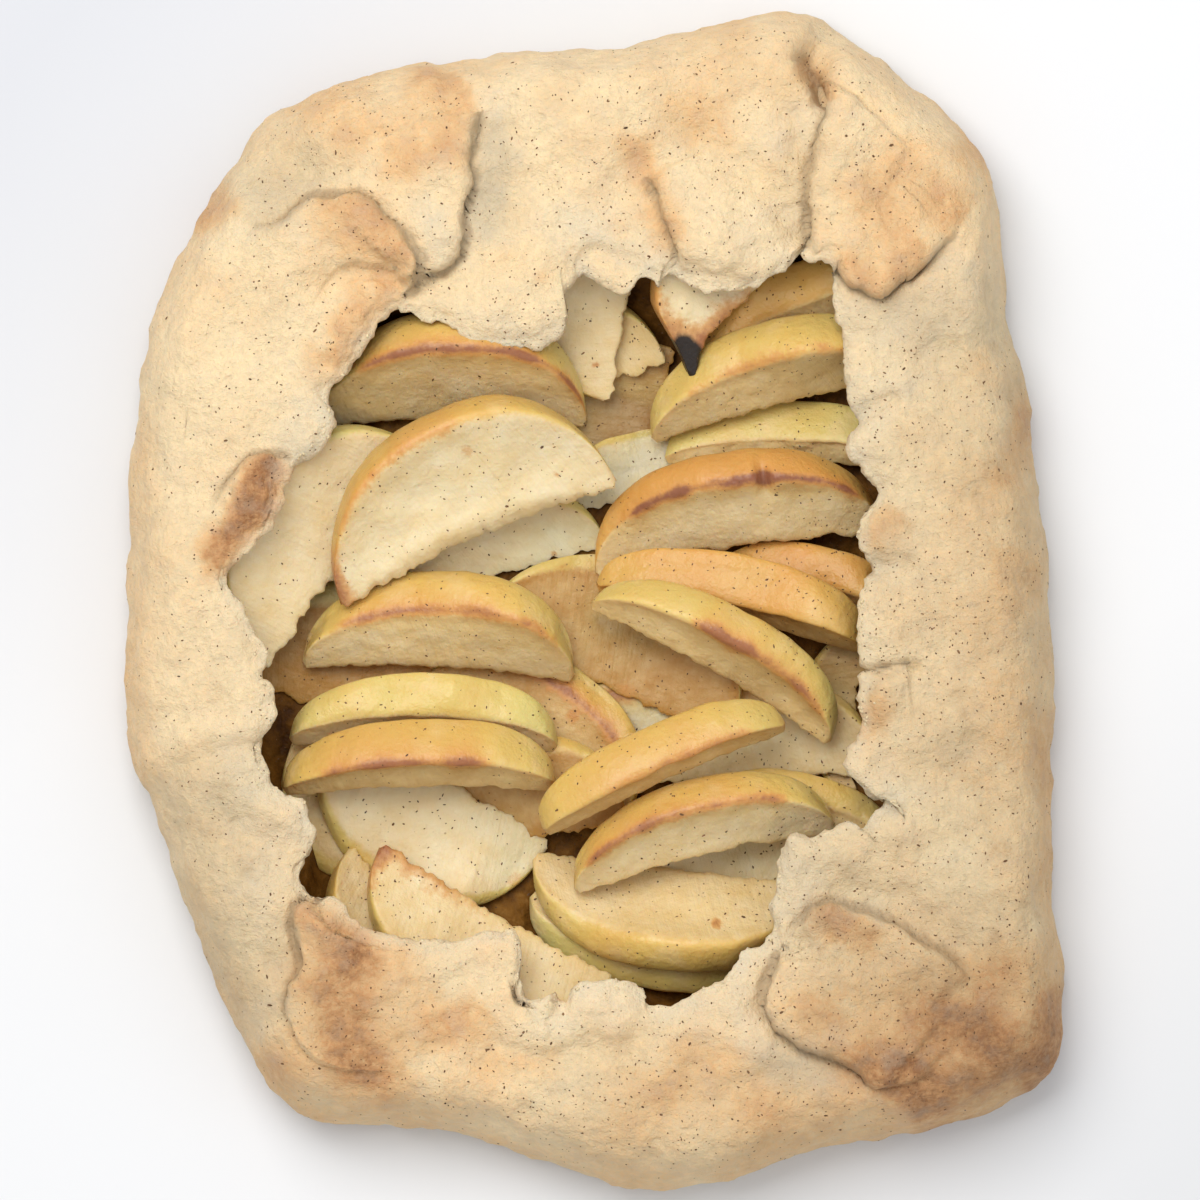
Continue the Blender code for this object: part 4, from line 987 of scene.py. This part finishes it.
def sliceLooks(spec, points, form):
    s, q, along, across, height, deep, radius, arc, edgeNoise, seed = form.values()
    thickness = spec["size"][2]
    skin = np.clip(0.5 + (1.06 - np.abs(q - 3)) * 3.0, 0, 1)
    # how far each point is from the upper edge of the skin
    corner = np.where(q < 4, (4 - q) * thickness / 2, (q - 4) / 2 * deep)
    first, last, amount = spec.get("rim", (-1, 1, 0.0))
    reach = smoothStep(s, first - 0.06, first + 0.14) * (1 - smoothStep(s, last - 0.14, last + 0.06))
    vary = 0.8 + 0.7 * gridNoise(along, seed, 0, 9, seed + 6)
    uneven = 1 + 0.5 * gridNoise(along, seed, 9, 5, seed + 8)
    edge = np.exp(-(corner / (1.5 * uneven)) ** 2) + 0.35 * np.exp(-(corner / 3.6) ** 2)
    browned = amount * reach * vary * edge
    if "notch" in spec:
        browned += 0.7 * np.exp(-((s - spec["notch"]) / 0.07) ** 2) * np.exp(-(corner / 3.2) ** 2)
    coreEdge = np.exp(-(across * deep / 4.2) ** 2) * (height > 0.2)
    coreEdge = coreEdge * smoothStep(spec.get("coreEnd", -1) * s, -0.1, 0.5)
    browned += spec.get("core", 0.0) * coreEdge * (0.8 + 0.3 * edgeNoise)
    browned += spec.get("tipA", 0.06) * smoothStep(-s, 0.82, 1.0)
    browned += spec.get("tipB", 0.06) * smoothStep(s, 0.82, 1.0)
    burnt = spec.get("burnt", 0.0)
    char = burnt * smoothStep(-s, 0.70, 0.86) * (1 - smoothStep(radius - sliceShape["coreRadius"], 5, 11))
    browned += burnt * smoothStep(-s, 0.62, 0.92) * 0.7
    for x, y, wide, strength in sliceShape["spots"]:  # small bruises that show on the upper faces
        away = np.hypot(points[..., 0] - x, points[..., 1] - y)
        browned += strength * np.exp(-(away / wide) ** 4) * (height > 0)
    blush = amount * reach * vary * np.exp(-(corner / 5.5) ** 2)
    nearSkin = np.exp(-((1 - across) * deep / 3.5) ** 2)
    nearCore = np.exp(-(across * deep / 2.5) ** 2)
    baked = spec["baked"] + 0.45 * blush + 0.16 * nearSkin + 0.10 * nearCore
    hue = spec["hue"] - 0.32 * smoothStep(s, 0.2, 0.95) - 0.15 * smoothStep(-s, 0.5, 1)
    hue += 0.5 * blush + 0.10 * gridNoise(along, arc, seed, 16, seed + 7)
    return {"peel": skin, "hue": hue, "baked": np.clip(baked, 0, 1), "browned": np.clip(browned, 0, 1),
            "plum": spec.get("plum", 0.0) * np.clip(reach + 0.2, 0, 1),
            "char": char, "fibre": (along * 0.9 + radius * 0.25) + seed * 40}


def makeSlice(number, spec, material):
    points, form = sliceForm(number, spec)
    piece = tubeObject(f"bakedSlice{number:02d}", points, sliceLooks(spec, points, form), material)
    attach(piece, "root")
    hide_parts(f"slice_{number:02d}")
    return piece


bed = {
    "dark": (0.06, 0.021, 0.003), "juice": (0.19, 0.082, 0.013), "soft": (0.40, 0.22, 0.06),
    "roughness": 0.5, "shine": 0.08, "cuts": 3, "flatBelow": 6.0,
}


def bedMaterial():
    material, tree, shader, place = newMaterial(
        "stewedApple", bed["roughness"], Specular_IOR_Level=bed["shine"])
    wide, patchy = mottle(tree, place, 11, 1.8), mottle(tree, place, 3.5, 1.6)
    tone = swayed(tree, mathNode(tree, "MULTIPLY", patchy, 0.7), wide, 0.9, True)
    colour = rampNode(tree, tone, [(0.0, bed["dark"]), (0.5, bed["juice"]), (1.0, bed["soft"])])
    feed(tree, shader.inputs["Base Color"], colour)
    feed(tree, shader.inputs["Roughness"], remap(tree, patchy, 0.2, 0.8, 0.4, 0.65))
    feed(tree, shader.inputs["Normal"], bumpNode(tree, patchy, 0.0012, 0.6))
    return material


def makeBed():
    shape = bmesh.new()
    shape.from_mesh(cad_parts["apple_bed"].data)
    bmesh.ops.remove_doubles(shape, verts=shape.verts, dist=1e-6)
    bmesh.ops.subdivide_edges(shape, edges=shape.edges, cuts=bed["cuts"], use_grid_fill=True, smooth=0.0)
    bmesh.ops.smooth_vert(shape, verts=shape.verts, factor=0.5,
                          use_axis_x=True, use_axis_y=True, use_axis_z=True)
    shape.normal_update()
    places = np.array([v.co[:] for v in shape.verts]) / mm
    push = 0.7 * noiseAt(places, 6, 3) + 0.4 * noiseAt(places, 2.8, 4) - 0.3
    for vertex, amount in zip(shape.verts, push.tolist()):
        if vertex.co.z > bed["flatBelow"] * mm:
            vertex.co += vertex.normal * amount * mm
    piece = finishPiece("stewedBed", shape, bedMaterial())
    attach(piece, "root")
    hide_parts("apple_bed")
    return piece


flecks = {
    "seed": 5, "size": (0.12, 0.27), "more": 1.35, "drift": 1.5, "lowest": 4.0,
    "dark": (0.045, 0.022, 0.010), "colour": (0.13, 0.065, 0.028), "pale": (0.26, 0.14, 0.06),
    # how many in each 40 mm square of the top, from the top row down
    "rows": (140, 100, 60, 20, -20, -60, -100, -140),
    "columns": (-120, -80, -40, 0, 40, 80, 120),
    "counts": ((30, 150, 96, 150, 130, 24), (75, 105, 130, 130, 115, 60), (80, 80, 95, 75, 155, 110),
               (60, 60, 80, 75, 190, 150), (55, 80, 85, 90, 150, 130), (45, 120, 90, 95, 180, 150),
               (6, 130, 150, 150, 175, 46)),
}
crumbs = {
    "seed": 9, "count": 200, "size": (0.25, 0.6), "bare": (-82, 20), "bareWithin": 15,
    "torn": [(-2, 77), (6, 74), (-8, 68), (-64, 42), (-71, 33), (-80, -20), (-78, -42), (-20, -86),
             (-14, -95), (-8, -95), (44, -66), (66, -50), (64, -30), (62, 20), (58, 68), (12, -95)],
}
above = 80  # a ray that looks for the surface starts this high


def spiceMaterial():
    material, tree, shader, place = newMaterial("groundSpice", 0.75, Specular_IOR_Level=0.3)
    tone = mottle(tree, place, 2.0, 2.2)
    colour = rampNode(tree, tone, [(0.0, flecks["dark"]), (0.5, flecks["colour"]), (1.0, flecks["pale"])])
    feed(tree, shader.inputs["Base Color"], colour)
    feed(tree, shader.inputs["Normal"], bumpNode(tree, mottle(tree, place, 0.2), 0.0001, 0.5))
    return material


def surfaceUnder(pieces):
    corners, faces = [], []
    for piece in pieces:
        start = len(corners)
        corners += [v.co[:] for v in piece.data.vertices]
        faces += [tuple(i + start for i in p.vertices) for p in piece.data.polygons]
    return BVHTree.FromPolygons(corners, faces)


def groundAt(surface, x, y):
    return surface.ray_cast(Vector((x, y, above)) * mm, Vector((0, 0, -1)))[:2]


def restingOn(hit, normal, sink, spin, stretch):
    # sunk a little into the surface, turned about its normal and stretched
    upright = normal.to_track_quat("Z", "Y").to_matrix().to_4x4()
    place = Matrix.Translation(hit - normal * sink * mm) @ upright
    return place @ Matrix.Rotation(spin, 4, "Z") @ Matrix.Diagonal((*stretch, 1))


def joinBatch(shape, batch):
    # operators slow down as a mesh grows, so small meshes are made and joined
    mesh = bpy.data.meshes.new("batch")
    batch.to_mesh(mesh)
    batch.free()
    shape.from_mesh(mesh)
    bpy.data.meshes.remove(mesh)


def scatterFlecks(rng, surface, across, down, count):
    # the flecks of one square
    batch = bmesh.new()
    for _ in range(count):
        x, y = rng.uniform(*across), rng.uniform(*down)
        if rng.random() < 0.35:  # some lie in little drifts
            x, y = x + rng.normal(0, flecks["drift"]), y + rng.normal(0, flecks["drift"])
        hit, normal = groundAt(surface, x, y)
        size = rng.uniform(*flecks["size"]) * (1.5 if rng.random() < 0.06 else 1)
        long = rng.uniform(0.9, 1.9)
        spin, wide = rng.uniform(0, math.pi), rng.uniform(0.6, 1.0)
        if hit is not None and hit.z >= flecks["lowest"] * mm:
            place = restingOn(hit, normal, size * 0.1, spin, (long, wide, 0.45))
            bmesh.ops.create_icosphere(batch, subdivisions=1, radius=size * mm, matrix=place)
    return batch


def makeFlecks(surface):
    rng = np.random.default_rng(flecks["seed"])
    shape = bmesh.new()
    columns, rows = (list(zip(lines, lines[1:])) for lines in (flecks["columns"], flecks["rows"]))
    for (high, low), counts in zip(rows, flecks["counts"]):
        for across, count in zip(columns, counts):
            count = int(count * flecks["more"])
            joinBatch(shape, scatterFlecks(rng, surface, across, (low, high), count))
    piece = finishPiece("spiceFlecks", shape, spiceMaterial())
    piece.data.shade_flat()
    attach(piece, "root")
    print("flecks:", len(piece.data.polygons) // 20)  # each has 20 faces
    return piece


def makeCrumbs(surface, material):
    # bits of pale pastry left along the torn edge
    rng = np.random.default_rng(crumbs["seed"])
    mouth, outer = sectionLines()
    toward = (outer - mouth) / np.hypot(*(outer - mouth))
    shape = bmesh.new()
    for _ in range(crumbs["count"]):
        if rng.random() < 0.5:
            at = rng.integers(mouth.shape[1])
        else:  # more of them where the pastry tore most
            spot = crumbs["torn"][rng.integers(len(crumbs["torn"]))]
            spotX, spotY = (value + rng.normal(0, 4) for value in spot)
            at = np.hypot(mouth[0] - spotX, mouth[1] - spotY).argmin()
        x, y = mouth[:, at] + toward[:, at] * abs(rng.normal(0.6, 1.6))
        size, squash, spin = rng.uniform(*crumbs["size"]), rng.uniform(0.5, 0.8), rng.uniform(0, 3.1)
        hit, normal = groundAt(surface, x, y)
        if hit is None or math.dist((x, y), crumbs["bare"]) < crumbs["bareWithin"]:
            continue
        place = restingOn(hit, normal, size * 0.25, spin, (1.3, 0.9, squash))
        made = bmesh.ops.create_icosphere(shape, subdivisions=1, radius=size * mm, matrix=place)["verts"]
        for vertex in made:
            vertex.co += (vertex.co - hit) * 0.45 * noise.noise(vertex.co / mm * 1.1)
    piece = finishPiece("pastryCrumbs", shape, material)
    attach(piece, "root")
    return piece


def lookAt(thing, target):
    direction = Vector(target) - thing.location
    thing.rotation_euler = direction.to_track_quat("-Z", "Y").to_euler()


stage = {
    "viewWidth": 0.288, "distance": 4.0, "elevation": 89.0, "aim": (0.0015, -0.0005, 0.030),
    "keyPower": 17.0, "keyPlace": (-0.32, 0.55, 1.32), "keySize": 1.0,
    "fillPower": 2.6, "fillPlace": (0.9, -0.5, 1.0), "fillSize": 1.4, "sky": 0.62,
}


def makeStage():
    shape = bmesh.new()
    bmesh.ops.create_grid(shape, x_segments=8, y_segments=8, size=4)
    mesh = bpy.data.meshes.new("paleFloor")
    shape.to_mesh(mesh)
    shape.free()
    floor = bpy.data.objects.new("paleFloor", mesh)
    bpy.context.scene.collection.objects.link(floor)
    material, tree, shader, place = newMaterial("paleFloor", 0.85)
    # painted shade: the floor's colour is darker towards its top-left and a little darker towards its
    # bottom-right
    across = addNode(tree, "ShaderNodeSeparateXYZ", {"Vector": place}).outputs
    tone = mathNode(tree, "MULTIPLY_ADD", mathNode(tree, "SUBTRACT", across[1], across[0]), 1.6, 0.45)
    tone = mathNode(tree, "MULTIPLY_ADD", mottle(tree, place, 400, 0.4), 0.1, tone, clamp=True)
    colour = rampNode(tree, tone, [(0.05, (0.70, 0.705, 0.72)), (0.28, (0.78, 0.785, 0.80)),
                                   (0.66, (0.75, 0.755, 0.77)), (0.93, (0.62, 0.63, 0.665))])
    feed(tree, shader.inputs["Base Color"], colour)
    mesh.materials.append(material)
    world = bpy.data.worlds.new("softRoom")
    bpy.context.scene.world = world
    world.use_nodes = True
    back = world.node_tree.nodes["Background"]
    back.inputs[0].default_value = (0.97, 0.985, 1.0, 1)
    back.inputs[1].default_value = stage["sky"]
    for name, key in (("keyLight", "key"), ("fillLight", "fill")):
        lamp = bpy.data.lights.new(name, "AREA")
        lamp.energy, lamp.size = stage[key + "Power"], stage[key + "Size"]
        lamp.color = (1.0, 0.985, 0.96) if key == "key" else (0.93, 0.97, 1.0)
        holder = bpy.data.objects.new(name, lamp)
        holder.location = stage[key + "Place"]
        bpy.context.scene.collection.objects.link(holder)
        lookAt(holder, (0, 0, 0.02))
    camera = bpy.data.cameras.new("camera")
    camera.sensor_width = 36
    camera.lens = 36 * stage["distance"] / stage["viewWidth"]
    camera.clip_end = 20
    holder = bpy.data.objects.new("camera", camera)
    tilt = math.radians(stage["elevation"])
    aim = Vector(stage["aim"])
    holder.location = aim + Vector((0, -math.cos(tilt), math.sin(tilt))) * stage["distance"]
    holder.rotation_euler = Euler((math.pi / 2 - tilt, 0, 0))
    bpy.context.scene.collection.objects.link(holder)
    bpy.context.scene.camera = holder
    bpy.context.scene.view_settings.view_transform = "Standard"


makeStage()
print("stage ready")
crustPiece = makeCrust()
appleSkin = appleMaterial()
slicePieces = [makeSlice(number, spec, appleSkin) for number, spec in enumerate(slices, 1)]
print("slices:", len(slicePieces), "pieces of", len(slicePieces[0].data.polygons), "faces")
bedPiece = makeBed()
makeCrumbs(surfaceUnder([crustPiece]), crustPiece.data.materials[0])
makeFlecks(surfaceUnder([crustPiece, bedPiece] + slicePieces))
